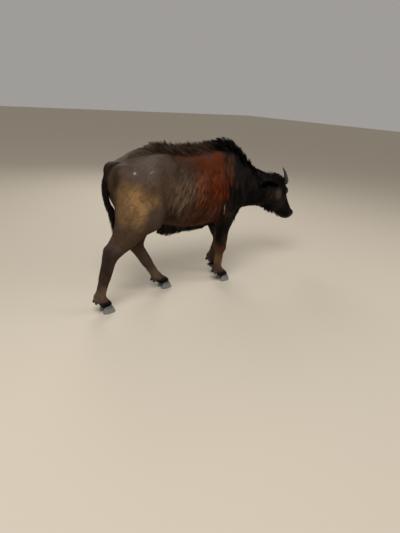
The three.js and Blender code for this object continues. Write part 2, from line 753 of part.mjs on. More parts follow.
// A lid is a soft rim round half of the opening
function lid(way, upperLid) {
  const points = [];
  for (let s = 0; s <= 6; s += 1) {
    const turn = Math.PI * s / 6;
    const out = 13 + 3 * Math.sin(turn);
    points.push(lidPoint(way, upperLid ? turn : -turn, upperLid ? 1.34 : 1.26, out));
  }
  const thick = upperLid ? LID_THICKNESS.upper : LID_THICKNESS.lower;
  return sweep(along3(points), 6, 5, (t) => {
    const size = thick * (0.55 + 0.45 * Math.sin(Math.PI * t));
    return [size, size];
  });
}

// Mouth: a groove round the muzzle under the nose pad, from corner to corner
const MOUTH = { from: 352, height: -108, rise: -7, turn: rad(104), deep: 8, half: 4 };
function onHead(from, towards) {
  let near = 0;
  let far = 120;
  for (let i = 0; i < 24; i += 1) {
    const reach = (near + far) / 2;
    if (head(...fromHead(...from.map((v, k) => v + towards[k] * reach))) < 0) near = reach;
    else far = reach;
  }
  return near;
}
function mouth() {
  const rings = [];
  const steps = 14;
  for (let i = 0; i <= steps; i += 1) {
    const turn = lerp(-MOUTH.turn, MOUTH.turn, i / steps);
    const fade = Math.sin(Math.PI * clamp(i / steps, 0.04, 0.96)) ** 0.35;
    const o = MOUTH.height + MOUTH.rise * Math.sin(turn) ** 4;
    const towards = [Math.cos(turn), Math.sin(turn), 0];
    const reach = onHead([MOUTH.from, 0, o], towards);
    const place = (out, up) => fromHead(
      MOUTH.from + towards[0] * (reach + out),
      towards[1] * (reach + out),
      o + up,
    );
    rings.push([
      place(7, MOUTH.half + 2), place(-MOUTH.deep * fade, 0.8), place(-MOUTH.deep * fade, -0.8),
      place(7, -MOUTH.half - 2),
    ]);
  }
  return loft(rings);
}

// Nostrils: wide commas beside the nose pad
const NOSTRIL = [414, 35, -56];
const NOSTRIL_HALF = [15, 8];     // half its length and half its height
function nostril(way) {
  const rings = [];
  for (const [depth, size] of [[9, 1.3], [-2, 0.95], [-16, 0.45]]) {
    const ring = [];
    for (let s = 0; s < 9; s += 1) {
      const turn = 2 * Math.PI * s / 9;
      const u = Math.cos(turn) * NOSTRIL_HALF[0] * size;
      const swell = 1 + 0.4 * Math.cos(turn);
      const v = Math.sin(turn) * NOSTRIL_HALF[1] * size * swell + 3 * Math.cos(turn) ** 2;
      ring.push(fromHead(
        NOSTRIL[0] - u * 0.62 + depth * 0.72 + v * 0.3,
        way * (NOSTRIL[1] + u * 0.66 + depth * 0.5),
        NOSTRIL[2] + v * 0.9 + depth * 0.48 - u * 0.3,
      ));
    }
    rings.push(ring);
  }
  return loft(rings);
}

// Horns: short and swept back beside the neck, thick at the base and turning up at the tips
const HORN_HALF = [23, 28];      // half thicknesses at the base, across and along the head
const HORN_TAPER = 0.88;         // share of the thickness that is gone at the tip
const HORNS = {
  right: [
    [1168, -50, 782], [1180, -92, 797], [1168, -128, 820],
    [1135, -152, 858], [1095, -165, 908], [1058, -165, 950],
  ],
  left: [
    [1168, -10, 782], [1174, 32, 800], [1150, 72, 826],
    [1108, 100, 852], [1058, 112, 884], [1020, 112, 898],
  ],
};
function horn(name, grow) {
  const rounded = (angle) => {
    const pull = 1 + 0.1 * Math.cos(3 * angle);
    return [Math.cos(angle) * pull, Math.sin(angle) * pull];
  };
  return sweep(along3(HORNS[name]), 12, 9, (t) => {
    const ridge = 1 + 0.035 * Math.cos(t * 60) * (1 - t);
    const size = (1 - HORN_TAPER * t ** 1.4) * ridge;
    return HORN_HALF.map((half) => half * size + grow);
  }, rounded);
}

// Ears: long leaves with a narrow root sunk in the head, and a cup on the inner side
const EAR_HALF = 48;              // half its width
const EAR_THICK = [12, 4];        // half its thickness at the root and the tip
function earSweep({ base, tip, mouth }, halfWidth, halfDepth, inwards, from) {
  const start = new THREE.Vector3(...base);
  const end = new THREE.Vector3(...tip);
  const forward = end.clone().sub(start).normalize();
  const inward = new THREE.Vector3(...mouth);
  inward.sub(forward.clone().multiplyScalar(inward.dot(forward))).normalize();
  const across = new THREE.Vector3().crossVectors(forward, inward);
  const length = end.distanceTo(start);
  const points = [];
  for (const share of [from, 0, 0.35, 0.7, 1]) {
    if (share > 0 || share === from) {
      const bend = -18 * Math.max(share, 0) ** 2 + inwards * (1 - Math.max(share, 0) * 0.7);
      const place = start.clone().addScaledVector(forward, share * length);
      points.push(place.addScaledVector(inward, bend).toArray());
    }
  }
  return sweep(along3(points), 9, 9, (t) => [halfWidth(t), halfDepth(t)], undefined, across);
}
function ear(shape, grow) {
  const leaf = (t) => {
    const half = EAR_HALF * (0.3 + 0.7 * Math.sin(Math.PI * t ** 0.9) ** 0.8);
    return half * (t > 0.99 ? 0.25 : 1) + grow;
  };
  return earSweep(shape, leaf, (t) => lerp(...EAR_THICK, t) + grow, 0, -0.13);
}
function earCup(shape) {
  const leaf = (t) => EAR_HALF * 0.82 * Math.sin(Math.PI * (0.12 + 0.86 * t)) ** 0.8 + 1;
  return earSweep(shape, leaf, (t) => lerp(...EAR_THICK, t), EAR_THICK[0], 0.1);
}
const EARS = {
  right: { base: [1095, -100, 758], tip: [880, -160, 822], mouth: [0.1, -0.75, -0.66] },
  left: { base: [1095, 40, 758], tip: [941, 190, 812], mouth: [0.5, 0.45, -0.66] },
};

// Tail: a thick dock tapering to a thin shank, with a switch of hair at its end
const TAIL = [
  [-400, 0, 1000], [-440, 0, 994], [-472, 0, 966], [-489, 0, 910], [-493, 0, 835], [-480, 2, 768],
  [-449, 5, 702], [-420, 10, 636], [-396, 14, 576], [-380, 18, 520], [-372, 20, 470],
];
const TAIL_HALF = [28, 15];       // half its thickness at the root and above the switch
const SWITCH_SWELL = 10;          // how much thicker the dense hair of the switch makes it
const SWITCH_LOCKS = 6;
const tailPath = along3(TAIL);
const TAIL_CUTS = { tail_root: [0.001, 0.34], tail_shank: [0.34, 0.64], tail_switch: [0.64, 1] };
function tail(grow) {
  return sweep(tailPath, 24, 7, (t) => {
    const shank = lerp(...TAIL_HALF, Math.min(t / 0.62, 1));
    const tuft = SWITCH_SWELL * Math.sin(Math.PI * clamp((t - 0.6) / 0.4, 0, 1)) ** 0.7;
    const size = Math.max(shank + tuft - (t > 0.97 ? 6 : 0), 3) + grow;
    return [size, size];
  });
}

// Claws: two to a foot, each a wedge of horn under the coronet
const TOE_SLOPE = 26;             // how far the wall leans back from the sole to the coronet, at the toe
const HEEL_SLOPE = 12;            // and at the heel
function claw(leg, way) {
  const half = HOOF_WIDTH / 4;
  const rings = [];
  const levels = [[0, 1], [0.1, 1.02], [0.5, 0.97], [1, 0.86]];
  for (const [share, size] of levels) {
    const ring = [];
    const toe = -share * TOE_SLOPE;
    const heel = -HOOF_LENGTH + share * HEEL_SLOPE;
    const middle = (toe + heel) / 2;
    const reach = (toe - heel) / 2;
    for (let s = 0; s < 10; s += 1) {
      const a = 2 * Math.PI * s / 10;
      let f = Math.cos(a);
      let l = Math.sin(a);
      const squash = (Math.abs(f) ** 2.4 + Math.abs(l) ** 2.4) ** (-1 / 2.4);
      f *= squash;
      l *= squash;
      const inner = l * way < 0 ? 0.82 : 1.08;
      const ahead = middle + f * reach * size;
      const height = share * (HOOF_HEIGHT + CORONET_SLOPE * (ahead - CORONET_MIDDLE));
      const point = leg.inHoof(ahead, height);
      point[1] += way * (half + 1.5) + l * half * inner * size + way * f * -3;
      ring.push(point);
    }
    rings.push(ring);
  }
  return loft(rings);
}
function dewclaw(leg, way, grow) {
  const root = [leg.fetlock[0] - 22, leg.fetlock[1] + way * 17, leg.fetlock[2] - 14];
  const tip = [leg.fetlock[0] - 41, leg.fetlock[1] + way * 20, leg.fetlock[2] - 36];
  return sweep(along3([root, mix3(root, tip, 0.5), tip]), 3, 7, (t) => {
    const size = lerp(13, 8, t * t) + grow;
    return [size, size];
  });
}

// Long hair in flat, tapered locks that lie along the coat, bend and overlap. Each patch is a
// stretch of the body: distance forward and turn round it from the top, then the rows of locks
const ALONG = [-1, 0, 0.25];      // the lie of the hair along the back
const HUNG = [-0.4, 0, -1];       // and of the hair down the sides
const BELOW = [-1, 0, -0.5];      // and of the fringe under the throat and belly
const LOCKS = [
  { x: [-330, -90], turn: [-18, 18], rows: [3, 1], length: 70, width: 18, lift: 20, lie: ALONG },
  { x: [-90, 380], turn: [-24, 24], rows: [8, 2], length: 92, width: 22, lift: 24, lie: ALONG },
  { x: [380, 640], turn: [-34, 34], rows: [5, 3], length: 88, width: 23, lift: 32, lie: ALONG },
  { x: [640, 860], turn: [-30, 30], rows: [4, 2], length: 88, width: 22, lift: 48, lie: ALONG },
  { x: [860, 1060], turn: [-30, 30], rows: [4, 2], length: 80, width: 20, lift: 32, lie: ALONG },
  { x: [270, 640], turn: [38, 106], rows: [3, 4], length: 190, width: 32, lift: 20, lie: HUNG, pair: true },
  { x: [-60, 270], turn: [42, 112], rows: [2, 3], length: 175, width: 31, lift: 16, lie: HUNG, pair: true },
  { x: [715, 1000], turn: [48, 124], rows: [3, 2], length: 140, width: 27, lift: 17, lie: HUNG, pair: true },
  { x: [930, 1040], turn: [166, 194], rows: [2, 1], length: 84, width: 22, lift: 30, lie: BELOW },
  { x: [-20, 400], turn: [160, 200], rows: [5, 2], length: 88, width: 22, lift: 30, lie: BELOW },
];
const BEND = 0.7;
const draw = draws(20260711);
const vary = (value, by) => value * (1 + by * (2 * draw() - 1));

// The way out of a field at a place, and a place moved to a height over the field's surface
function outward(field, p) {
  const rise = [0, 1, 2].map((i) => {
    const high = p.map((v, k) => (k === i ? v + 2 : v));
    const low = p.map((v, k) => (k === i ? v - 2 : v));
    return field(...high) - field(...low);
  });
  const size = Math.hypot(...rise) || 1;
  return rise.map((v) => v / size);
}
function settle(field, p, height) {
  let at = p;
  for (let i = 0; i < 4; i += 1) {
    const out = outward(field, at);
    const off = height - field(...at);
    at = at.map((v, k) => v + out[k] * off);
  }
  return at;
}

// One lock: a flat, ridged section carried from its root over two more places to its tip
const LOCK_SECTION = [[1, -0.1], [0, 0.42], [-1, -0.1]];
const LOCK_WIDTHS = [0.9, 1, 0.62];
const LOCK_EDGE = 4.2;          // a clear space round a lock reaches this much further at its thin edges
function strand(places, half, grow = 0) {
  const points = [];
  const count = LOCK_SECTION.length;
  LOCK_WIDTHS.forEach((size, i) => {
    const { at, across, out } = places[i];
    for (const [u, v] of LOCK_SECTION) {
      const wide = half * size * u + LOCK_EDGE * grow * u;
      const high = half * size * v + 1.2 * grow * Math.sign(v);
      points.push(...at.clone().addScaledVector(across, wide).addScaledVector(out, high).toArray());
    }
  });
  const tip = places[3].at;
  const end = tip.clone().sub(places[2].at).normalize();
  points.push(...tip.clone().addScaledVector(end, LOCK_EDGE * grow).toArray());
  const faces = [0, 2, 1];
  for (let k = 0; k < count; k += 1) {
    const next = (k + 1) % count;
    for (const ring of [0, count]) {
      faces.push(ring + k, ring + next, ring + next + count);
      faces.push(ring + k, ring + next + count, ring + k + count);
    }
    faces.push(2 * count + k, 2 * count + next, 3 * count);
  }
  const mesh = { points, faces };
  if (volume(mesh) < 0) {
    for (let f = 0; f < faces.length; f += 3) [faces[f], faces[f + 1]] = [faces[f + 1], faces[f]];
  }
  return solid(mesh);
}

// A lock that lies along a field's surface: rooted under it and lifting towards its tip
function lock(field, root, lie, { length, width, lift }) {
  const size = vary(1, 0.22);
  const bend = BEND * (draw() - 0.5);
  const heights = [-LOCK_SUNK, lift * size * 0.4, lift * size * 0.8, lift * size];
  const places = [];
  let along = root;
  for (let i = 0; i < 4; i += 1) {
    const out = new THREE.Vector3(...outward(field, along));
    const way = new THREE.Vector3(...lie);
    way.addScaledVector(out, -way.dot(out)).normalize();
    const across = new THREE.Vector3().crossVectors(out, way);
    way.addScaledVector(across, bend * i / 3).normalize();
    across.crossVectors(out, way).normalize();
    places.push({ at: new THREE.Vector3(...settle(field, along, heights[i])), across, out });
    along = way.multiplyScalar(length * size / 3).add(new THREE.Vector3(...along)).toArray();
  }
  return strand(places, vary(width, 0.2));
}

// The place on the coat straight out from the middle of the trunk, at a turn from the top
function onTrunk(x, turn) {
  const [top, bottom, , centre] = trunkTable.at(x);
  const out = [0, Math.sin(turn), Math.cos(turn)];
  let reach = 40;
  const place = () => [x, centre + out[1] * reach, (top + bottom) / 2 + out[2] * reach];
  while (coat(...place()) < 0) reach += 4;
  return settle(coat, place(), 0);
}
function bodyLocks() {
  const made = [];
  for (const patch of LOCKS) {
    for (const way of patch.pair ? [1, -1] : [1]) {
      for (let i = 0; i < patch.rows[0]; i += 1) {
        for (let j = 0; j < patch.rows[1]; j += 1) {
          const x = lerp(...patch.x, (i + draw()) / patch.rows[0]);
          const turn = rad(way * lerp(...patch.turn, (j + draw()) / patch.rows[1]));
          made.push(lock(coat, onTrunk(x, turn), patch.lie, patch));
        }
      }
    }
  }
  return made;
}

// Hair that hangs off a thing that isn't a field: a root, a way to go and a pull downwards
function hanging(root, way, length, out) {
  const down = new THREE.Vector3(0, 0, -1);
  const places = [0, 0.34, 0.7, 1].map((share) => {
    const at = new THREE.Vector3(...root).addScaledVector(way, length * share * (1 - 0.4 * share));
    at.addScaledVector(down, length * 0.45 * share * share);
    return { at, across: new THREE.Vector3().crossVectors(out, way).normalize(), out };
  });
  return places;
}
// The beard along the jaw: places along the head and across the jaw, where its locks hang from
const BEARD = { along: [70, 325], across: [-34, 34], rows: [6, 2], length: 66, width: 17 };
function beard() {
  const made = [];
  for (let i = 0; i < BEARD.rows[0]; i += 1) {
    for (let j = 0; j < BEARD.rows[1]; j += 1) {
      const a = lerp(...BEARD.along, (i + draw()) / BEARD.rows[0]);
      const l = lerp(...BEARD.across, (j + draw()) / BEARD.rows[1]);
      const [, bottom] = headTable.at(a);
      const root = settle(skin, fromHead(a, l, bottom), -LOCK_SUNK);
      const way = new THREE.Vector3(vary(-0.35, 0.6), l / 150, -1).normalize();
      const out = new THREE.Vector3(0.8 * (draw() - 0.5), Math.sign(l), 0).normalize();
      made.push(strand(hanging(root, way, vary(BEARD.length, 0.22), out), vary(BEARD.width, 0.2)));
    }
  }
  return made;
}
function earFringe({ base, tip, mouth }) {
  const start = new THREE.Vector3(...base);
  const reach = new THREE.Vector3(...tip).sub(start);
  const forward = reach.clone().normalize();
  const inward = new THREE.Vector3(...mouth);
  inward.addScaledVector(forward, -inward.dot(forward)).normalize();
  const lower = new THREE.Vector3().crossVectors(forward, inward);
  if (lower.z > 0) lower.negate();
  return [0.22, 0.42, 0.62, 0.8].map((share) => {
    const root = start.clone().addScaledVector(reach, share).addScaledVector(lower, 16);
    root.addScaledVector(inward, -18 * share * share);
    const way = lower.clone().addScaledVector(forward, vary(0.35, 0.5)).normalize();
    return [hanging(root.toArray(), way, vary(78, 0.15) - 26 * share, inward), vary(13, 0.2)];
  });
}
function switchLocks() {
  const made = [];
  for (let i = 0; i < SWITCH_LOCKS; i += 1) {
    const turn = 2 * Math.PI * (i + draw() * 0.5) / SWITCH_LOCKS * 2.4;
    const radial = new THREE.Vector3(Math.cos(turn), Math.sin(turn), 0);
    const from = lerp(0.68, 0.9, i / (SWITCH_LOCKS - 1));
    const reach = vary(0.22, 0.25);
    const places = [0, 0.34, 0.7, 1].map((share) => {
      const t = from + reach * share;
      const at = tailPath.getPointAt(Math.min(t, 1));
      at.z -= Math.max(t - 1, 0) * 560;
      at.addScaledVector(radial, 22 * Math.sin(Math.PI * share * 0.75));
      return { at, across: new THREE.Vector3(-radial.y, radial.x, 0), out: radial };
    });
    made.push(strand(places, vary(15, 0.2)));
  }
  return made;
}

// Thin cuts between the nodes: a point on each cut and the way to its far side
const CUTS = {
  neck: [[700, 0, 600], [0.967, 0, 0.255]],
  head: [[1045, 0, 600], [0.968, 0, -0.251]],
};
const STIFLE_FRONT = 60;        // the hind leg is parted from the flank this far before its stifle
// Boxes that hold one shank each
const SHANK_BOXES = {
  hind_right: [[-700, -400, 0], [-420, -1, 420]],
  hind_left: [[-420, -60, 0], [250, 400, 420]],
  fore_right: [[330, -400, 0], [760, -1, 420]],
  fore_left: [[330, 1, 0], [760, 400, 420]],
};
const legPlane = (way, hind) => (hind
  ? [[0, way * 30, 520], [0, way * 0.633, -0.774]]
  : [[0, way * 50, 500], [0, way * 0.62, -0.78]]);

function moved([point, direction], by) {
  const n = new THREE.Vector3(...direction).normalize();
  return [[point[0] + n.x * by, point[1] + n.y * by, point[2] + n.z * by], direction];
}
// The near and far side of a cut, each half a gap away from it
const beyond = (cut) => side(...moved(cut, GAP / 2));
const before = (cut) => {
  const [point, direction] = moved(cut, -GAP / 2);
  return side(point, direction.map((d) => -d));
};

const core = solid(thin(surface(coat, [-640, -330, 180], [1230, 330, 1220], BODY_STEP), BODY_FACES));
const upper = wasm.Manifold.union([core, ...bodyLocks()]);
// The face is carved while its skin is still fine, and thinned after that
let face = solid(thin(surface(skin, [960, -230, 380], [1500, 190, 960], HEAD_STEP), 2 * HEAD_FACES));
face = face.subtract(solid(mouth()));
for (const way of [1, -1]) {
  face = face.subtract(solid(nostril(way))).add(solid(lid(way, true))).add(solid(lid(way, false)));
  face = face.subtract(solid(eyeOpening(way)));
}
const headSkin = wasm.Manifold.union([solid(thin(largest(face), HEAD_FACES)), ...beard()]);
const feetSkin = solid(thin(surface(legs, [-700, -200, -20], [700, 220, 430], FOOT_STEP), FOOT_FACES));
const nodes = {};

const torsoSide = before(CUTS.neck);
const neckRegion = beyond(CUTS.neck).intersect(before(CUTS.head));
const headRegion = beyond(CUTS.head);
let torso = upper.intersect(torsoSide);
for (const [name, leg] of Object.entries(LEGS)) {
  const way = Math.sign(leg.hip[1]);
  const plane = legPlane(way, leg.hind);
  const box = leg.hind ? [[-700, -400, 0], [52, 400, 900]] : [[330, -400, 0], [760, 400, 900]];
  const grown = [box[0].map((v) => v - GAP), box[1].map((v) => v + GAP)];
  const knee = [[0, 0, leg.cut], [0, 0, -1]];
  let taken = boxSolid(...grown).intersect(side(...moved(plane, -GAP / 2)));
  let kept = boxSolid(...box).intersect(side(...moved(plane, GAP / 2))).intersect(before(knee));
  if (leg.hind) {
    const groin = [shift(leg.stifle, STIFLE_FRONT, 0, 0), [-1, 0, 0.4]];
    taken = taken.intersect(side(...moved(groin, -GAP / 2)));
    kept = kept.intersect(side(...moved(groin, GAP / 2)));
  }
  torso = torso.subtract(taken);
  nodes[`${name}_upper`] = upper.intersect(kept);
  let shank = feetSkin.intersect(boxSolid(...SHANK_BOXES[name])).intersect(beyond(knee));
  for (const clawWay of [1, -1]) {
    const sole = side([0, 0, 0], [0, 0, 1]);
    const horny = solid(claw(leg, clawWay)).intersect(sole);
    nodes[`${name}_claw_${clawWay > 0 ? 'left' : 'right'}`] = horny;
    const spur = solid(dewclaw(leg, clawWay, 0));
    nodes[`${name}_dewclaw_${clawWay > 0 ? 'left' : 'right'}`] = spur;
    shank = shank.subtract(solid(dewclaw(leg, clawWay, GAP)));
  }
  // Below the coronet the leg gives way to the claws
  const coronet = leg.inHoof(CORONET_MIDDLE, HOOF_HEIGHT + GAP);
  const slope = [0, 1, 2].map((i) => leg.rise[i] - CORONET_SLOPE * leg.ahead[i]);
  shank = shank.intersect(side(coronet, slope));
  nodes[`${name}_shank`] = shank;
}
nodes.torso = torso;
nodes.neck = upper.intersect(neckRegion);

let skull = headSkin.intersect(headRegion);
for (const way of [1, -1]) {
  const name = way > 0 ? 'left' : 'right';
  const centre = eyeCentre(way);
  nodes[`eye_${name}`] = solid(ballPoints(centre, EYE_RADIUS, 12, 7));
  skull = skull.subtract(solid(ballPoints(centre, EYE_RADIUS + GAP * 2, 12, 7)));
  nodes[`horn_${name}`] = solid(horn(name, 0));
  skull = skull.subtract(solid(horn(name, GAP * 1.5)));
  nodes.neck = nodes.neck.subtract(solid(horn(name, GAP * 1.5)));
}
for (const [name, shape] of Object.entries(EARS)) {
  const fringe = earFringe(shape);
  const leaf = wasm.Manifold.union([solid(ear(shape, 0)), ...fringe.map((hair) => strand(...hair))]);
  nodes[`ear_${name}`] = leaf.subtract(solid(earCup(shape)));
  skull = skull.subtract(solid(ear(shape, GAP * 1.5)));
  nodes.neck = nodes.neck.subtract(solid(ear(shape, GAP * 1.5)));
  for (const hair of fringe) nodes.neck = nodes.neck.subtract(strand(...hair, GAP * 1.2));
}
nodes.head = skull;
for (const [name, [from, to]] of Object.entries(TAIL_CUTS)) {
  const cut = (t) => [tailPath.getPointAt(t).toArray(), tailPath.getTangentAt(t).toArray()];
  nodes[name] = solid(tail(0));
  if (name === 'tail_switch') nodes[name] = wasm.Manifold.union([nodes[name], ...switchLocks()]);
  nodes[name] = nodes[name].intersect(beyond(cut(from)));
  if (to < 1) nodes[name] = nodes[name].intersect(before(cut(to)));
}
nodes.torso = nodes.torso.subtract(solid(tail(GAP * 1.5)));

const COLOURS = {
  torso: 0x4a3d36, neck: 0x3a322e, head: 0x2c2624, eye: 0x100c0a, horn: 0x4d463c, ear: 0x241f1d,
  tail: 0x231e1c, upper: 0x5c4a3c, shank: 0x4b4038, claw: 0x6b6c6e, dewclaw: 0x2a2725,
};
const buffalo = new THREE.Group();
for (const [name, piece] of Object.entries(nodes)) {
  const { points, faces } = largest(piece);
  const geometry = new THREE.BufferGeometry();
  geometry.setAttribute('position', new THREE.Float32BufferAttribute(points, 3));
  geometry.setIndex(faces);
  const kinds = Object.keys(COLOURS).filter((key) => name.includes(key));
  const kind = kinds.sort((a, b) => b.length - a.length)[0];
  const material = new THREE.MeshStandardMaterial({ color: COLOURS[kind], roughness: 0.8, metalness: 0 });
  const mesh = new THREE.Mesh(geometry, material);
  mesh.name = name;
  buffalo.add(mesh);
}
// The origin is under the middle of the whole animal, on the floor
const box = new THREE.Box3().setFromObject(buffalo);
const middle = box.getCenter(new THREE.Vector3());
buffalo.position.set(-middle.x, -middle.y, -box.min.z);

export default buffalo;
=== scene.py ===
# %% [markdown]
# A young water buffalo bull, walking with its head held low.
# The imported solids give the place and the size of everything. This script makes one smooth skin
# over them, then the coat, eyes, horns and hooves. It works in millimetres from the animal's own
# origin, which is under its belly on the floor, and turns to metres when a mesh is made.

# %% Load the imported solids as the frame
import math

import bpy
import bmesh
import numpy as np
from mathutils import Matrix, Vector, kdtree


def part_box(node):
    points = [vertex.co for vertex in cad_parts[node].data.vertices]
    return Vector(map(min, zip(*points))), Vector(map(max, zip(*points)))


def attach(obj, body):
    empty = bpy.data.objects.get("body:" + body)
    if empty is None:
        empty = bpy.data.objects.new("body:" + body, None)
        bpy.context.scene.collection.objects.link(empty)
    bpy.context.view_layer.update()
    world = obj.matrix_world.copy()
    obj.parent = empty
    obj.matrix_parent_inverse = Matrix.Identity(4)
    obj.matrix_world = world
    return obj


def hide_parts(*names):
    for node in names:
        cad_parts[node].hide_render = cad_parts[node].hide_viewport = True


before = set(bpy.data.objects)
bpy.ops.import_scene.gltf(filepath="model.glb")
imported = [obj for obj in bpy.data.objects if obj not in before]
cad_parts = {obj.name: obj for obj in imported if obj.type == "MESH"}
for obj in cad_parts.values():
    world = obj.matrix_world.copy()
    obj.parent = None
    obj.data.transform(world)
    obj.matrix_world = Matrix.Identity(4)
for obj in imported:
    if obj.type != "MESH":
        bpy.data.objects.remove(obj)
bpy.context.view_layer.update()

# %% [markdown]
# Driving sizes. The head has its own frame: along from poll to nose, to the left, and out of the
# forehead. The eyes fix where the body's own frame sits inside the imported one.

# %% Driving sizes
MM = 0.001
HEAD_PITCH = math.radians(52)
HEAD_YAW = math.radians(-3)
POLL = np.array([1147.0, -30.0, 862.0])
EYE = np.array([142.0, 80.0, -34.0])
EYE_RADIUS = 18.0
HOOF_HEIGHT = 52.0
HOOF_LENGTH = 98.0
HOOF_WIDTH = 92.0
CORONET_SLOPE = 0.22
CORONET_MIDDLE = -56.0
TAIL_SHARES = [0, 0.62, 1]
TAIL_RADII = [27, 14, 8]
SEED = 11

head_along = np.array([
    math.cos(HEAD_PITCH) * math.cos(HEAD_YAW),
    math.cos(HEAD_PITCH) * math.sin(HEAD_YAW),
    -math.sin(HEAD_PITCH),
])
head_left = np.array([-math.sin(HEAD_YAW), math.cos(HEAD_YAW), 0.0])
head_out = np.cross(head_along, head_left)
HEAD_AXES = np.stack([head_along, head_left, head_out])


def from_head(a, l, o):
    return POLL + a * head_along + l * head_left + o * head_out


def eye_centre(way):
    return from_head(EYE[0], way * (EYE[1] - 2), EYE[2])


low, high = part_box("eye_right")
OFFSET = (np.array(low) + np.array(high)) / 2 - eye_centre(-1) * MM
print("the animal's own origin is at", OFFSET.round(4), "m")

# %% [markdown]
# The skin is a field: a number for every place, negative inside the animal and zero on its skin.
# Muscles and bones are simple shapes, joined with soft fillets, so that one smooth skin covers
# them. A sculpted mesh would do as well, but a field keeps every muscle a named, real size.

# %% Shapes that fields are made of
def join(a, b, k):
    h = np.maximum(k - np.abs(a - b), 0) / k
    return np.minimum(a, b) - h * h * k / 4


def carve(a, b, k):
    return -join(-a, b, k)


def bone(x, y, z, a, b, ra, rb, flat=1.0):
    d = np.subtract(b, a)
    px, py, pz = x - a[0], y - a[1], z - a[2]
    t = np.clip((px * d[0] + py * d[1] + pz * d[2]) / (d @ d), 0, 1)
    away = np.sqrt((px - t * d[0]) ** 2 + ((py - t * d[1]) / flat) ** 2 + (pz - t * d[2]) ** 2)
    return away - ra - t * (rb - ra)


def ball(x, y, z, c, r):
    k = np.sqrt(((x - c[0]) / r[0]) ** 2 + ((y - c[1]) / r[1]) ** 2 + ((z - c[2]) / r[2]) ** 2)
    return (k - 1) * min(r)


def add_balls(d, x, y, z, balls, how=join):
    """Joins balls to a field. Each has its middle, its three radii and its fillet."""
    for middle, radii, fillet in balls:
        d = how(d, ball(x, y, z, middle, radii), fillet)
    return d


def add_bones(d, x, y, z, bones):
    """Joins bones to a field. Each has its ends, their radii, its flatness and its fillet."""
    for a, b, ra, rb, flat, fillet in bones:
        d = join(d, bone(x, y, z, a, b, ra, rb, flat), fillet)
    return d


def smooth_table(rows):
    """Each column of a table as a smooth curve of its first column, sampled every millimetre."""
    rows = np.array(rows, float)
    at = rows[:, 0]
    x = np.arange(at[0], at[-1] + 1)
    i = np.clip(np.searchsorted(at, x, side="right") - 1, 0, len(at) - 2)
    t = (x - at[i]) / (at[i + 1] - at[i])
    columns = []
    for column in rows[:, 1:].T:
        slope = np.gradient(column, at)
        slope[1:-1] = (column[2:] - column[:-2]) / (at[2:] - at[:-2])
        span = at[i + 1] - at[i]
        columns.append(
            (2 * t**3 - 3 * t**2 + 1) * column[i] + (t**3 - 2 * t**2 + t) * slope[i] * span
            + (3 * t**2 - 2 * t**3) * column[i + 1] + (t**3 - t**2) * slope[i + 1] * span
        )
    return x, columns


def read_table(samples, x):
    at, columns = samples
    return [np.interp(x, at, column) for column in columns]


def section(y, z, top, bottom, width, share, upper, lower):
    """Distance to a rounded section with its widest part a share of the way down."""
    middle = top + (bottom - top) * share
    above = z > middle
    height = np.where(above, top - middle, middle - bottom)
    power = np.where(above, upper, lower)
    k = (np.abs(y) / width) ** power + (np.abs(z - middle) / height) ** power
    k = np.maximum(k ** (1 / power), 0.02)
    return np.sqrt(y**2 + (z - middle) ** 2) * (1 - 1 / k)


def capped(d, beyond):
    return np.where(beyond > 0, np.sqrt(np.maximum(d, 0) ** 2 + beyond**2), d)


print("two lines 6 mm apart, joined with a 20 mm fillet:", join(0.0, 6.0, 20.0).round(2), "mm")

# %% [markdown]
# The trunk and neck of a buffalo are one long barrel: a flat rump, a hollow back, a deep belly,
# high withers and a thin, low neck. It could be lofted through drawn sections. Here a table gives
# the back line, belly line and width at each place, and smooth curves run between its rows.

# %% Trunk and neck: distance forward, back line, belly line, half width, middle line
TRUNK = smooth_table([
    [-478, 950, 850, 34, 0],
    [-450, 990, 788, 88, 0],
    [-400, 1018, 706, 134, 0],
    [-330, 1050, 636, 166, 0],
    [-250, 1088, 608, 182, 0],
    [-150, 1112, 598, 190, 0],
    [-50, 1108, 568, 206, 0],
    [60, 1099, 530, 230, 0],
    [180, 1102, 514, 240, 0],
    [300, 1108, 510, 228, 0],
    [400, 1126, 518, 198, 0],
    [500, 1144, 536, 168, 0],
    [590, 1124, 564, 146, 0],
    [660, 1072, 590, 126, 0],
    [730, 1012, 610, 112, 0],
    [800, 960, 618, 104, -4],
    [880, 906, 618, 98, -10],
    [960, 880, 612, 94, -18],
    [1050, 868, 604, 88, -27],
    [1110, 856, 620, 76, -30],
    [1160, 820, 680, 46, -30],
])


def trunk(x, y, z):
    top, bottom, width, centre = read_table(TRUNK, x)
    beyond = np.maximum(np.maximum(TRUNK[0][0] - x, x - TRUNK[0][-1]), 0)
    return capped(section(y - centre, z, top, bottom, width, 0.5, 1.85, 2.15), beyond)


print("trunk and neck:", len(TRUNK[0]), "mm long")

# %% [markdown]
# The head is long and straight, with a wide muzzle. Brow, cheek, jaw joint and nostril swell out
# of a tapering core, and a hollow runs under the eye towards the nose.

# %% Head: distance from poll to nose, forehead line, jaw line, half width
HEAD = smooth_table([
    [-34, -36, -120, 36],
    [-12, -8, -160, 62],
    [20, 8, -196, 78],
    [60, 14, -226, 85],
    [105, 11, -238, 87],
    [150, 3, -230, 84],
    [195, -8, -210, 76],
    [240, -17, -190, 70],
    [285, -23, -166, 66],
    [330, -27, -150, 65],
    [365, -31, -143, 68],
    [395, -37, -141, 68],
    [418, -43, -135, 65],
    [434, -53, -124, 55],
    [442, -68, -108, 39],
])


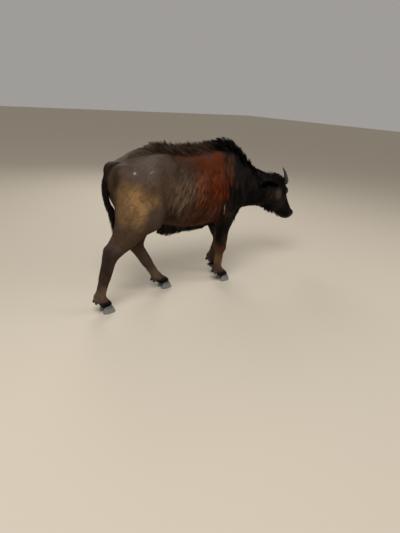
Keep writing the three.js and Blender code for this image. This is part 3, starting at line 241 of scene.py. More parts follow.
HEAD_SWELLINGS = [
    [[EYE[0] - 4, EYE[1] - 14, EYE[2] + 2], (38, 28, 30), 22],  # eye socket
    [[100, 56, -150], (78, 30, 62), 30],  # chewing muscle
    [[56, 64, -30], (44, 30, 36), 22],  # temple
    [[404, 42, -60], (32, 28, 30), 16],  # nostril
    [[368, 0, -130], (40, 42, 22), 18],  # chin
]
HEAD_HOLLOWS = [
    [[300, 82, -74], (84, 22, 26), 26],  # beside the nose
    [[204, 92, -100], (56, 20, 24), 26],  # under the cheek bone
]


def to_head(x, y, z):
    px, py, pz = x - POLL[0], y - POLL[1], z - POLL[2]
    return [px * axis[0] + py * axis[1] + pz * axis[2] for axis in HEAD_AXES]


def head(x, y, z):
    a, side, o = to_head(x, y, z)
    l = np.abs(side)
    top, bottom, width = read_table(HEAD, a)
    beyond = np.maximum(np.maximum(HEAD[0][0] - a, a - HEAD[0][-1]), 0)
    d = capped(section(l, o, top, bottom, width, 0.36, 2.5, 1.9), beyond)
    d = add_balls(d, a, l, o, HEAD_SWELLINGS)
    return add_balls(d, a, l, o, HEAD_HOLLOWS, carve)


print("head:", len(HEAD[0]), "mm long")

# %% [markdown]
# The legs stand in mid-step: the near hind leg is stretched out behind, the far fore leg is just
# leaving the ground. Each is a chain of tapering bones from joint to joint, flattened from the
# side, so that a leg is moved by moving its joints, as an armature would do it.

# %% Legs: hip or shoulder, stifle or elbow, hock or knee, fetlock, toe, and tilt of the hoof
LEGS = {
    "hind_right": dict(hip=[-290, -128, 895], stifle=[-240, -160, 672], hock=[-519, -96, 412],
                       fetlock=[-596, -84, 124], toe=[-489, -80, 0], tilt=0, hind=True),
    "hind_left": dict(hip=[-290, 128, 895], stifle=[-78, 158, 655], hock=[-216, 74, 386],
                      fetlock=[-42, 54, 106], toe=[86, 50, 0], tilt=0, hind=True),
    "fore_right": dict(hip=[430, -118, 900], stifle=[458, -138, 572], hock=[476, -102, 320],
                       fetlock=[476, -88, 117], toe=[604, -85, 0], tilt=0, hind=False),
    "fore_left": dict(hip=[430, 118, 900], stifle=[512, 132, 576], hock=[640, 106, 318],
                      fetlock=[562, 98, 150], toe=[624, 94, 0], tilt=38, hind=False),
}


def mix(a, b, t):
    return np.array(a, float) * (1 - t) + np.array(b, float) * t


for leg in LEGS.values():
    for joint in ("hip", "stifle", "hock", "fetlock", "toe"):
        leg[joint] = np.array(leg[joint], float)
    lean = math.radians(leg["tilt"])
    leg["ahead"] = np.array([math.cos(lean), 0, -math.sin(lean)])
    leg["rise"] = np.array([math.sin(lean), 0, math.cos(lean)])
    leg["side"] = np.sign(leg["hip"][1])
    shin = leg["hock"] - leg["fetlock"]
    shin /= np.linalg.norm(shin)
    leg["point"] = leg["hock"] + [shin[0] * 52 - 30 * shin[2], 0, shin[2] * 52 + 30 * shin[0]]
    stretched = leg["toe"][0] < leg["hip"][0]
    leg["seat"] = np.array([-366 if stretched else -312, leg["side"] * 92, 860])
    leg["ham"] = mix([-380 if stretched else -290, leg["side"] * 104, 645], leg["point"], 0.22)


def in_hoof(leg, forward, up):
    return leg["toe"] + leg["ahead"] * forward + leg["rise"] * up


def hind_leg(x, y, z, leg):
    hip, stifle, hock, side = leg["hip"], leg["stifle"], leg["hock"], leg["side"]
    d = bone(x, y, z, hip, stifle, 128, 66, 0.62)
    d = add_bones(d, x, y, z, [
        [leg["seat"], leg["ham"], 104, 60, 0.72, 60],
        [stifle, mix(stifle, hock, 0.62), 66, 52, 0.78, 50],
        [mix(stifle, hock, 0.5), hock, 55, 48, 0.86, 30],
        [hock, mix(hock, leg["fetlock"], 0.5), 47, 39, 0.86, 20],
        [leg["ham"], leg["point"], 50, 19, 0.8, 44],
        [hock, leg["point"], 38, 24, 0.8, 22],
    ])
    thigh = [[stifle[0] + 20, side * 188, 800], (90, 26, 150), 60]
    d = add_balls(d, x, y, z, [thigh])
    return lower_leg(x, y, z, leg, d, 40, 35)


def fore_leg(x, y, z, leg):
    elbow, knee, side = leg["stifle"], leg["hock"], leg["side"]
    shoulder = [590, side * 112, 720]
    d = bone(x, y, z, [455, side * 92, 1030], [520, side * 118, 800], 66, 92, 0.62)
    d = add_bones(d, x, y, z, [
        [[520, side * 118, 800], shoulder, 88, 66, 0.7, 50],
        [shoulder, elbow, 70, 72, 0.78, 50],
        [[400, side * 132, 760], elbow, 70, 66, 0.6, 50],
        [elbow, mix(elbow, knee, 0.8), 67, 47, 0.86, 40],
        [mix(elbow, knee, 0.7), knee, 48, 46, 0.92, 20],
    ])
    d = add_balls(d, x, y, z, [[knee + [4, 0, -4], (49, 43, 50), 16]])
    return lower_leg(x, y, z, leg, d, 38, 33)


def lower_leg(x, y, z, leg, above, thick, thin):
    fetlock = leg["fetlock"]
    pastern = in_hoof(leg, -0.56 * HOOF_LENGTH, HOOF_HEIGHT * 0.9)
    d = add_bones(above, x, y, z, [[leg["hock"], fetlock, thick, thin, 0.88, 18]])
    d = add_balls(d, x, y, z, [[fetlock - [4, 0, 0], (38, 38, 38), 18]])
    d = add_bones(d, x, y, z, [[fetlock, pastern, 34, 38, 0.98, 18]])
    cleft_top = in_hoof(leg, -0.1 * HOOF_LENGTH, HOOF_HEIGHT * 1.75)
    cleft_low = in_hoof(leg, -0.02 * HOOF_LENGTH, HOOF_HEIGHT * 0.7)
    d = carve(d, bone(x, y, z, cleft_top, cleft_low, 3, 9, 0.7), 10)
    # Below the coronet the skin gives way to the horn of the claws
    slope = leg["rise"] - CORONET_SLOPE * leg["ahead"]
    slope /= np.linalg.norm(slope)
    rim = in_hoof(leg, CORONET_MIDDLE, HOOF_HEIGHT - 5)
    below = -((x - rim[0]) * slope[0] + (y - rim[1]) * slope[1] + (z - rim[2]) * slope[2])
    by_the_hoof = (np.abs(x - rim[0]) < 140) & (z < 170)
    return np.where(by_the_hoof, -join(-d, -below, 6), d)


print("legs:", list(LEGS))

# %% [markdown]
# The tail hangs from the rump in one slack curve, and the ears grow from the sides of the poll.
# Only the tail's core and the ears' roots belong to the skin: their hair and the leaf of the ear
# come later, as pieces of their own.

# %% Tail and the roots of the ears
TAIL = np.array([
    [-400, 0, 1000], [-440, 0, 994], [-472, 0, 966], [-489, 0, 910], [-493, 0, 835],
    [-480, 2, 768], [-449, 5, 702], [-420, 10, 636], [-396, 14, 576], [-380, 18, 520],
    [-372, 20, 480],
], float)
EARS = {
    "right": dict(base=[1095, -100, 758], tip=[880, -160, 822], mouth=[0.1, -0.75, -0.66]),
    "left": dict(base=[1095, 40, 758], tip=[941, 190, 812], mouth=[0.5, 0.45, -0.66]),
}


def tail(x, y, z):
    radii = np.interp(np.linspace(0, 1, len(TAIL)), TAIL_SHARES, TAIL_RADII)
    d = bone(x, y, z, TAIL[0], TAIL[1], radii[0], radii[1])
    for i in range(1, len(TAIL) - 1):
        d = np.minimum(d, bone(x, y, z, TAIL[i], TAIL[i + 1], radii[i], radii[i + 1]))
    return d


print("tail of", len(TAIL) - 1, "bones")

# %% [markdown]
# Now trunk, legs, tail and head are joined with wide fillets, as flesh and skin run from one to
# the next. Hip bones, pin bones, navel and brisket are added as soft balls. Parts that can't reach
# a place are skipped there, which saves most of the time.

# %% The whole skin
TRUNK_SWELLINGS = [
    [[-160, 150, 1036], (70, 30, 34), 110],  # point of the hip
    [[-418, 74, 970], (40, 30, 40), 70],  # pin bone
    [[20, 0, 524], (100, 30, 34), 40],  # navel
    [[585, 0, 590], (70, 62, 60), 60],  # brisket
]


def skin(x, y, z):
    d = trunk(x, y, z)
    d = add_balls(d, x, np.abs(y), z, TRUNK_SWELLINGS)
    for near_it, leg_shape, kind in (
        (np.min(x) < 260, hind_leg, "hind"), (np.max(x) > 150, fore_leg, "fore"),
    ):
        if near_it:
            legs = [leg_shape(x, y, z, LEGS[f"{kind}_{side}"]) for side in ("right", "left")]
            d = join(d, np.minimum(*legs), 46)
    if np.min(x) < -360:
        d = join(d, tail(x, y, z), 22)
    if np.max(x) > 950:
        d = join(d, head(x, y, z), 40)
        for shape in EARS.values():
            root_end = mix(shape["base"], shape["tip"], 0.14)
            d = add_bones(d, x, y, z, [[shape["base"], root_end, 20, 13, 0.9, 16]])
    return d


withers = skin(np.array([500.0]), 0.0, np.array([1134.0]))[0]
print("distance at the withers:", round(float(withers), 2), "mm")

# %% [markdown]
# To turn the field into a mesh, space is cut into small cubes. Every cube that the skin passes
# through gets one point, in the middle of where the skin crosses its edges, and every cube edge
# that the skin crosses gets one face between its four cubes. The result is even and closed.

# %% A mesh from the field
SKIN_STEP = 7.0
SLAB = 24


def net(field, low, high, step):
    counts = [int((h - l) / step) + 2 for l, h in zip(low, high)]
    axes = [l + step * np.arange(n) for l, n in zip(low, counts)]
    values = np.empty(counts, np.float32)
    across, upright = axes[1][None, :, None], axes[2][None, None, :]
    for start in range(0, counts[0], SLAB):
        rows = slice(start, start + SLAB)
        values[rows] = field(axes[0][rows, None, None], across, upright)
    inside = values < 0
    corners = [(i, j, k) for i in (0, 1) for j in (0, 1) for k in (0, 1)]
    cells = tuple(n - 1 for n in counts)
    part = lambda grid, c: grid[c[0]:c[0] + cells[0], c[1]:c[1] + cells[1], c[2]:c[2] + cells[2]]
    count = sum(part(inside, c).astype(np.int8) for c in corners)
    mixed = np.argwhere((count > 0) & (count < 8))
    number = np.full(cells, -1)
    number[tuple(mixed.T)] = np.arange(len(mixed))
    total = np.zeros((len(mixed), 3))
    hits = np.zeros(len(mixed))
    for a in corners:
        for axis in range(3):
            if a[axis]:
                continue
            b = list(a)
            b[axis] = 1
            va = values[tuple((mixed + a).T)].astype(float)
            vb = values[tuple((mixed + b).T)].astype(float)
            crossed = (va < 0) != (vb < 0)
            share = np.where(crossed, va / np.where(crossed, va - vb, 1), 0)
            place = np.tile(np.array(a, float), (len(mixed), 1))
            place[:, axis] += share
            total += place * crossed[:, None]
            hits += crossed
    points = np.array(low) + (mixed + total / hits[:, None]) * step
    faces = []
    for axis in range(3):
        u, v = (axis + 1) % 3, (axis + 2) % 3
        laid = np.moveaxis(inside, axis, 0)
        crossing = np.argwhere(laid[:-1] != laid[1:])
        starts = laid[:-1][tuple(crossing.T)]
        at = np.empty_like(crossing)
        order = [axis] + [k for k in range(3) if k != axis]
        for place, k in enumerate(order):
            at[:, k] = crossing[:, place]
        ring = []
        for du, dv in ((-1, -1), (0, -1), (0, 0), (-1, 0)):
            cell = at.copy()
            cell[:, u] += du
            cell[:, v] += dv
            ring.append(number[tuple(np.clip(cell, 0, np.array(cells) - 1).T)])
        quads = np.stack(ring, 1)
        quads[~starts] = quads[~starts][:, ::-1]
        faces.append(quads[(quads >= 0).all(1)])
    return points, np.concatenate(faces), values


GRID_LOW = np.array([-664.0, -302.0, 22.0])
GRID_HIGH = np.array([1424.0, 302.0, 1200.0])
skin_points, skin_faces, skin_grid = net(skin, GRID_LOW, GRID_HIGH, SKIN_STEP)
print("skin net:", len(skin_points), "points,", len(skin_faces), "faces")

# %% [markdown]
# Hair needs the skin's distance at very many places. Reading it from the grid, between its eight
# nearest values, is far quicker than asking every muscle again, and is right to a fraction of a
# millimetre.

# %% Reading the field from its grid
def between(grid, cell, share):
    """Blends the eight values at the corners of a cell by the share of the way across it."""
    total = np.zeros(len(cell))
    for corner in np.ndindex(2, 2, 2):
        weight = np.prod(np.where(corner, share, 1 - share), axis=1)
        i, j, k = (cell + corner).T
        total += weight * grid[i, j, k]
    return total


def near_skin(points):
    place = (points - GRID_LOW) / SKIN_STEP
    cell = np.clip(place.astype(int), 0, np.array(skin_grid.shape) - 2)
    return between(skin_grid, cell, np.clip(place - cell, 0, 1))


def exact_skin(points):
    return skin(*points.T)


def outward(points, field=near_skin, reach=3.0):
    """The way out of the skin at each place, and how fast the field grows that way."""
    slope = []
    for axis in range(3):
        step = np.zeros(3)
        step[axis] = reach
        slope.append((field(points + step) - field(points - step)) / (2 * reach))
    slope = np.stack(slope, 1)
    steep = np.maximum(np.linalg.norm(slope, axis=1), 1e-6)
    return slope / steep[:, None], steep


def settle(points, height=0.0, field=near_skin, rounds=2):
    """Moves each place to a height over the skin."""
    for _ in range(rounds):
        out, steep = outward(points, field)
        off = (height - field(points)) / np.clip(steep, 0.4, 2)
        points = points + out * np.clip(off, -20, 20)[:, None]
    return points


skin_points = settle(skin_points, field=exact_skin, rounds=1)
print("furthest from the field after settling:", abs(exact_skin(skin_points)).max().round(2), "mm")

# %% [markdown]
# The head needs finer faces than the body: lids, nostrils and lips are a few millimetres wide.
# Splitting only the faces that lie there keeps the rest light. The new points are then put back
# on the field, which still knows the true shape.

# %% Finer faces on the head
MUZZLE_FROM = 318.0


def in_head(points):
    return np.stack(to_head(*points.T), 1)


def split_where(bm, chosen):
    co = np.array([v.co[:] for v in bm.verts])
    wanted = chosen(co)
    edges = [e for e in bm.edges if wanted[e.verts[0].index] and wanted[e.verts[1].index]]
    bmesh.ops.subdivide_edges(bm, edges=edges, cuts=1, use_grid_fill=True)
    bm.verts.index_update()


def on_head(points):
    return in_head(points)[:, 0] > 0


def by_the_eye(points, reach, outside):
    a, l, o = in_head(points).T
    return (np.sqrt((a - EYE[0]) ** 2 + (o - EYE[2]) ** 2) < reach) & (np.abs(l) > outside)


def on_features(points):
    a = in_head(points)[:, 0]
    return ((a > MUZZLE_FROM) | by_the_eye(points, 52, 55)) & (a > 0)


def on_lids(points):
    return by_the_eye(points, 34, 62)


plain = bpy.data.meshes.new("plain skin")
plain.from_pydata(skin_points.tolist(), [], skin_faces.tolist())
bm = bmesh.new()
bm.from_mesh(plain)
bm.verts.index_update()
coarse = len(bm.verts)
for chosen in (on_head, on_features, on_lids):
    split_where(bm, chosen)
fine = np.array([v.co[:] for v in bm.verts])
fine[coarse:] = settle(fine[coarse:], field=exact_skin)
print("skin after splitting:", len(fine), "points")

# %% [markdown]
# The face. A buffalo's eye sits in an almond of lids: the skin sinks away inside the almond, so
# the eyeball shows, and swells to a rim round it, with a crease above. The nostril is a comma
# that runs back and up, and the mouth a groove under the nose pad, from corner to corner. Each
# is a push along the skin's own normal, worked out from a distance to the feature.

# %% Lids, nostrils and mouth
def ramp(value, start, end):
    t = np.clip((value - start) / (end - start), 0, 1)
    return t * t * (3 - 2 * t)


LID_LENGTH = 17.0
LID_HEIGHT = 10.5
LID_SLANT = 0.25
NOSTRIL = np.array([414.0, 35.0, -56.0])
NOSTRIL_ALONG = np.array([-0.62, 0.66, -0.3])
NOSTRIL_OUT = np.array([0.72, 0.5, 0.48])
NOSTRIL_LENGTH = 16.0
NOSTRIL_HEIGHT = 8.0
NOSTRIL_BEND = 0.016
MOUTH_FROM = 352.0
MOUTH_HEIGHT = -108.0
MOUTH_TURN = 104.0


def bell(value, middle, width):
    return np.exp(-(((value - middle) / width) ** 2))


def lid_share(points):
    """0 in the middle of the eye's opening, 1 on the edge of the lids, and the height over it."""
    a, l, o = in_head(points).T
    ahead, above = a - EYE[0], o - EYE[2]
    high = (above - LID_SLANT * ahead) / (1 + LID_SLANT**2)
    along = ahead + LID_SLANT * high
    height = LID_HEIGHT * (1 - 0.25 * np.minimum(np.abs(along) / LID_LENGTH, 1))
    share = np.hypot(along / LID_LENGTH, high / height)
    return np.where(np.abs(l) > 50, share, 9), high


def nostril_share(points):
    a, l, o = in_head(points).T
    from_middle = np.stack([a, np.abs(l), o], 1) - NOSTRIL
    along = from_middle @ (NOSTRIL_ALONG / np.linalg.norm(NOSTRIL_ALONG))
    upward = np.cross(NOSTRIL_OUT, NOSTRIL_ALONG)
    upward /= np.linalg.norm(upward)
    high = from_middle @ upward
    bent = high - along**2 * NOSTRIL_BEND
    height = NOSTRIL_HEIGHT * (1 + 0.35 * np.clip(along / 15, -1, 1))
    share = np.hypot(along / NOSTRIL_LENGTH, bent / height)
    return np.where(from_middle @ NOSTRIL_OUT > -26, share, 9)


def face_push(points):
    """How far the skin of the face stands out, or sinks in where it is less than nothing."""
    a, l, o = in_head(points).T
    lids, above = lid_share(points)
    push = -14 * ramp(lids, 1.08, 0.8) + 3.6 * bell(lids, 1.27, 0.2)
    push -= 2.2 * bell(lids, 1.75, 0.14) * ramp(above, 0, 8)
    push += 1.8 * bell(lids, 2.1, 0.22) * ramp(above, 0, 8)
    push -= 1.4 * bell(lids, 1.7, 0.13) * ramp(above, 0, -6)
    nose = nostril_share(points)
    push += -15 * ramp(nose, 1.05, 0.55) + 2.4 * bell(nose, 1.35, 0.24)
    turn = np.degrees(np.arctan2(np.abs(l), a - MOUTH_FROM))
    line = MOUTH_HEIGHT - 7 * np.sin(np.radians(turn)) ** 4
    there = ramp(turn, MOUTH_TURN, MOUTH_TURN - 14) * (a > 310)
    lips = 2.0 * bell(o, line - 9, 6) + 1.2 * bell(o, line + 8, 5)
    return push + there * (-6.5 * bell(o, line, 3.2) + lips)


head_rows = np.flatnonzero(on_head(fine))
way_out, _ = outward(fine[head_rows], exact_skin)
pushes = face_push(fine[head_rows])
fine[head_rows] += way_out * pushes[:, None]
for vertex, co in zip(bm.verts, fine):
    vertex.co = co * MM + OFFSET
print("face pushed by", pushes.min().round(1), "to", pushes.max().round(1), "mm")

# %% [markdown]
# The markings. One function gives them for any place, and both the skin and the hair over it
# read them, so that the hair always has the colour of the skin that it grows from. Over a
# grey-brown ground lie five colours, each with a weight from 0 to 1 for every place. A painted
# texture would need an unwrapped skin and could not colour single hairs. A patch is a soft ball:
# its middle (forward, from the middle, up), its reach, and its strength.

# %% Markings
PATCHES = {
    "tan": [
        [[-320, 140, 800], [190, 140, 190], 1.4],
        [[-370, 140, 680], [120, 110, 110], 0.5],
        [[0, 235, 890], [210, 140, 160], 0.4],
        [[-590, 84, 130], [100, 90, 85], 0.55],
        [[-60, 60, 150], [150, 80, 100], 0.5],
        [[500, 95, 210], [120, 80, 110], 0.6],
    ],
    "rust": [
        [[310, 185, 900], [310, 180, 310], 1.35],
        [[390, 190, 740], [180, 140, 200], 0.9],
        [[200, 230, 620], [260, 140, 110], 1.1],
        [[60, 110, 1030], [280, 120, 80], 0.4],
        [[476, 110, 330], [90, 90, 110], 1.1],
        [[500, 90, 240], [90, 80, 110], 0.6],
        [[800, 90, 780], [200, 90, 130], 0.25],
    ],
    "grey": [
        [[-250, 140, 1010], [230, 170, 150], 1.1],
        [[-60, 60, 1105], [230, 110, 60], 0.3],
        [[-180, 200, 700], [150, 110, 150], 0.4],
        [[10, 225, 900], [200, 140, 170], 0.5],
        [[-130, 66, 260], [110, 90, 190], 0.9],
        [[-500, 90, 460], [130, 90, 130], 0.8],
        [[260, 70, 1105], [180, 100, 50], 0.5],
        [[-590, 84, 130], [110, 90, 100], 0.7],
        [[-60, 60, 150], [160, 80, 110], 0.7],
    ],
    "black": [
        [[-40, 100, 1085], [220, 110, 50], 0.75],
        [[70, 190, 1000], [230, 110, 90], 0.6],
        [[60, 0, 1130], [380, 75, 50], 1.2],
        [[220, 60, 1115], [220, 110, 60], 0.7],
        [[600, 60, 1130], [400, 130, 130], 1.8],
        [[180, 60, 500], [440, 200, 95], 1.8],
        [[620, 80, 600], [190, 140, 190], 1.2],
        [[460, 120, 490], [170, 120, 200], 1.9],
        [[140, 235, 730], [170, 120, 130], 0.55],
        [[-80, 160, 640], [140, 130, 170], 0.7],
        [[-110, 190, 830], [80, 110, 200], 0.3],
        [[-519, 90, 385], [130, 100, 170], 1.0],
        [[-560, 86, 260], [70, 70, 110], 0.5],
        # painted shade: black in the hollow between the tail and each buttock
        [[-490, 90, 945], [60, 90, 150], 1.1],
        [[565, 98, 150], [80, 80, 90], 0.6],
    ],
}


def near(points, at, reach):
    """1 in the middle of a soft patch on both sides of the body, 0 outside it."""
    place = np.stack([points[:, 0], np.abs(points[:, 1]), points[:, 2]], 1)
    away = (((place - at) / reach) ** 2).sum(1)
    return np.clip(1 - away, 0, 1) ** 1.5


def noise(points, size, seed=0):
    """Soft random blotches of a size in millimetres, from -1 to 1."""
    rng = np.random.default_rng(SEED + seed)
    total = np.zeros(len(points))
    for _ in range(5):
        way = rng.normal(size=3)
        way /= np.linalg.norm(way)
        waves = 2 * math.pi / size * rng.uniform(0.7, 1.5)
        total += np.sin(points @ way * waves + rng.uniform(0, 6.3))
    return np.clip(total / 2.6, -1, 1)


SPECKLE_CELLS = 32


def speckle(points, size, seed=0):
    """Fine random mottling with no direction of its own: random values on a grid, blended."""
    rng = np.random.default_rng(SEED + seed)
    table = np.pad(rng.uniform(-1, 1, (SPECKLE_CELLS,) * 3), (0, 1), "wrap")
    place = points / size + rng.uniform(0, SPECKLE_CELLS, 3)
    cell = np.floor(place).astype(int)
    share = place - cell
    return between(table, cell % SPECKLE_CELLS, share * share * (3 - 2 * share))


SCARS = [[-369, 169, 981, 9], [-362, 172, 969, 6], [-269, 202, 985, 5], [-255, 204, 990, 4]]


def pale_marks(points):
    """Small scars on the right hip, and two short white marks behind the right shoulder."""
    x, y, z = points.T
    pale = np.zeros(len(points))
    for sx, sy, sz, size in SCARS:
        away = np.sqrt((x - sx) ** 2 + (y + sy) ** 2 + (z - sz) ** 2)
        pale = np.maximum(pale, 0.7 * ramp(away, size * 1.3, size * 0.4))
    on_right = np.where(y < -100, 1, 9)
    for mark_z in (696, 652):
        away = np.hypot((x - 408) / 6, (z - mark_z) / 13) * on_right
        pale = np.maximum(pale, 0.9 * ramp(away, 1.2, 0.5))
    return pale


def markings(points):
    """The weight of each colour at each place, apart from the small pale marks."""
    x, y, z = points.T
    weight = {name: np.zeros(len(points)) for name in PATCHES}

    def lay(name, values):
        weight[name] = np.maximum(weight[name], values)

    moved = points + 26 * np.stack([noise(points, 190, k) for k in (2, 3, 4)], 1)
    for name, patches in PATCHES.items():
        for at, reach, strength in patches:
            lay(name, strength * near(moved, at, reach))
    # Black takes over from rust along a slanting line across the shoulder
    front = moved[:, 0] + 0.35 * (900 - z)
    lay("black", 1.12 * ramp(front, 392, 508) * (z > 470))
    # Streaks run down and back over the ribs, as the hair does
    combed = np.stack([moved[:, 0] - 0.3 * z, y, 0.22 * z], 1)
    streaks = speckle(combed, 40, 9) + 0.7 * speckle(combed, 17, 10)
    streaks = streaks * ramp(x, -150, 0) * ramp(z, 520, 600)
    weight["rust"] *= 0.9 + 0.25 * streaks
    lay("black", 0.7 * np.clip(-0.05 - streaks, 0, 1) * ramp(x, -150, 0))
    mottle = speckle(points, 26, 11) + speckle(points, 11, 12)
    weight["tan"] *= 0.88 + 0.26 * mottle
    weight["grey"] *= 0.9 + 0.25 * mottle
    dark_spots = np.clip(-mottle - 0.35, 0, 1) * ramp(x, 100, -100) * ramp(z, 300, 500)
    lay("black", 0.22 * dark_spots)
    # The rings over the hooves and the tail are black, and a paler grey spot on the cheek is painted
    # sunlight
    lay("black", 0.95 * ramp(z, 108, 80))
    lay("black", ramp(tail(x, y, z), 14, 3) * (x < -350))
    # painted sunlight: a paler grey spot on the cheek, which also takes most of the black away there
    sunlit_cheek = near(in_head(points), [98, 78, -122], [92, 60, 66])
    sunlit_cheek = np.clip(1.2 * sunlit_cheek * (1 + 0.4 * mottle), 0, 1) * (x > 1000)
    lay("grey", 0.45 * sunlit_cheek)
    weight["black"] = weight["black"] * (1 - 0.85 * sunlit_cheek)
    blotch = noise(points, 150)
    for name in weight:
        weight[name] = np.clip(weight[name] * (0.9 + 0.2 * blotch), 0, 1)
    return weight


print("markings:", {name: len(patches) for name, patches in PATCHES.items()})

# %% [markdown]
# Colours are written as sRGB hex values, the way a paint program shows them. Blender works in
# linear light, so one function turns them. One more adds a node with its settings and links. A
# colour Mix node has its factor in socket 0 and its two colours in sockets 6 and 7.

# %% Colours and a helper for nodes
def linear(code):
    channels = [int(code[i:i + 2], 16) / 255 for i in (1, 3, 5)]
    light = [c / 12.92 if c <= 0.04045 else ((c + 0.055) / 1.055) ** 2.4 for c in channels]
    return tuple(light) + (1.0,)


def add(tree, kind, settings=None, inputs=None):
    node = tree.nodes.new("ShaderNode" + kind)
    for name, value in (settings or {}).items():
        setattr(node, name, value)
    for name, value in (inputs or {}).items():
        if isinstance(value, bpy.types.NodeSocket):
            tree.links.new(value, node.inputs[name])
        else:
            node.inputs[name].default_value = value
    return node


def new_material(name):
    material = bpy.data.materials.new(name)
    material.use_nodes = True
    material.node_tree.nodes.clear()
    return material, material.node_tree


GROUND_BROWN = "#463528"
LAYERS = {
    "tan": "#9a7850", "grey": "#584d45", "rust": "#5c2000", "black": "#070504", "pale": "#b5aca0",
}


def coat_colour(tree):
    """The ground colour with the markings over it, as the skin and every hair carry them."""
    colour = None
    for name, code in LAYERS.items():
        weight = add(tree, "Attribute", {"attribute_name": name})
        layer = add(tree, "Mix", {"data_type": "RGBA"}, {
            0: weight.outputs["Fac"],
            6: colour or linear(GROUND_BROWN),
            7: linear(code),
        })
        colour = layer.outputs[2]
    return colour


print("black in linear light:", [round(c, 4) for c in linear(LAYERS["black"])])

# %% [markdown]
# Hide with short hair. On the legs, face and rump the hair is so short that the eye sees a
# fine, streaky grain and not strands. That grain is a noise stretched along the way the hair
# lies, used for both a light bump and small changes of colour. The hide is dry and dusty, so it
# is rough and hardly shines.

# %% Material: hide under short hair
GRAIN_MM = 2.2
WRINKLE_MM = 16.0
GRAIN_STRETCH = 0.28

hide, tree = new_material("hide with short hair")
place = add(tree, "TexCoord")
streaks = add(tree, "Mapping", {}, {
    "Vector": place.outputs["Object"], "Scale": (1.0, 1.0, GRAIN_STRETCH),
})
grain = add(tree, "TexNoise", {}, {
    "Vector": streaks.outputs["Vector"], "Scale": 1000 / GRAIN_MM, "Detail": 4.0, "Roughness": 0.6,
})
wrinkle = add(tree, "TexNoise", {}, {
    "Vector": place.outputs["Object"], "Scale": 1000 / WRINKLE_MM, "Detail": 3.0, "Roughness": 0.55,
})
uneven = add(tree, "MapRange", {}, {
    "Value": grain.outputs["Fac"], "From Min": 0.3, "From Max": 0.7, "To Min": 0.62, "To Max": 1.25,
})
blotchy = add(tree, "MapRange", {}, {
    "Value": wrinkle.outputs["Fac"], "From Min": 0.3, "From Max": 0.7, "To Min": 0.8, "To Max": 1.15,
})
shade = add(tree, "Math", {"operation": "MULTIPLY"}, {0: uneven.outputs[0], 1: blotchy.outputs[0]})
ground = coat_colour(tree)
dusty = add(tree, "Mix", {"data_type": "RGBA", "blend_type": "MULTIPLY"}, {
    0: 1.0, 6: ground, 7: shade.outputs[0],
})
folds = add(tree, "Bump", {}, {"Height": wrinkle.outputs["Fac"], "Distance": 0.003, "Strength": 0.35})
hairs = add(tree, "Bump", {}, {
    "Height": grain.outputs["Fac"], "Distance": 0.0012, "Strength": 0.6,
    "Normal": folds.outputs["Normal"],
})
shader = add(tree, "BsdfPrincipled", {}, {
    "Base Color": dusty.outputs[2], "Roughness": 0.65, "IOR": 1.45, "Specular IOR Level": 0.08,
    "Normal": hairs.outputs["Normal"],
})
add(tree, "OutputMaterial", {}, {"Surface": shader.outputs["BSDF"]})
print("hide grain every", GRAIN_MM, "mm")

# %% [markdown]
# The nose pad is bare skin, kept moist. It is covered with small pebbles, which break its shine
# into points: a smooth Voronoi pattern, used as relief only, gives them.

# %% Material: bare muzzle leather
PEBBLE_MM = 3.5

leather, tree = new_material("moist muzzle leather")
place = add(tree, "TexCoord")
pebbles = add(tree, "TexVoronoi", {"feature": "SMOOTH_F1"}, {
    "Vector": place.outputs["Object"], "Scale": 1000 / PEBBLE_MM, "Smoothness": 0.6,
})
relief = add(tree, "Bump", {"invert": True}, {
    "Height": pebbles.outputs["Distance"], "Distance": 0.0008, "Strength": 0.5,
})
shader = add(tree, "BsdfPrincipled", {}, {
    "Base Color": linear("#231e1f"), "Roughness": 0.42, "IOR": 1.45, "Specular IOR Level": 0.3,
    "Normal": relief.outputs["Normal"],
})
add(tree, "OutputMaterial", {}, {"Surface": shader.outputs["BSDF"]})
print("nose pad with pebbles of", PEBBLE_MM, "mm")

# %% [markdown]
# Horn is keratin in fine fibres, nearly black and polished by rubbing, so it is the smoothest of the
# dry surfaces here. Its front, the side that faces forward and a little down, is painted pale
# grey-brown as painted sunlight. Its fibres are 0.4 mm wide, too fine to show, and are drawn
# sixteen times as wide.

# %% Material: ringed horn
FIBRE_MM = 0.4 * 16

horn_stuff, tree = new_material("dark horn with painted sunlight")
place = add(tree, "TexCoord")
fibres = add(tree, "TexNoise", {}, {
    "Vector": place.outputs["Object"], "Scale": 1000 / FIBRE_MM, "Detail": 5.0, "Roughness": 0.6,
})
dark = add(tree, "Mix", {"data_type": "RGBA"}, {
    0: fibres.outputs["Fac"], 6: linear("#151110"), 7: linear("#39302a"),
})
# painted sunlight: the side of the horn that faces forward and a little down turns pale grey-brown
painted_sunlight = add(tree, "Attribute", {"attribute_name": "painted_sunlight"})
tone = add(tree, "Mix", {"data_type": "RGBA"}, {
    0: painted_sunlight.outputs["Fac"], 6: dark.outputs[2], 7: linear("#8f7f69"),
})
relief = add(tree, "Bump", {}, {"Height": fibres.outputs["Fac"], "Distance": 0.0008, "Strength": 0.5})
shader = add(tree, "BsdfPrincipled", {}, {
    "Base Color": tone.outputs[2], "Roughness": 0.36, "IOR": 1.55, "Normal": relief.outputs["Normal"],
})
add(tree, "OutputMaterial", {}, {"Surface": shader.outputs["BSDF"]})
print("horn fibres drawn", FIBRE_MM, "mm wide")

# %% [markdown]
# A hoof is horn too, but dry and dusty: blue-grey, lighter where dust sticks, with a faint ring
# for each few weeks of growth and a dark rim under the hair. The wave node draws about pi bands
# for each unit of its scale, which turns the rings' real distance into that scale.

# %% Material: dusty hoof
GROWTH_MM = 6.0
DUST_PATCHES = 60.0

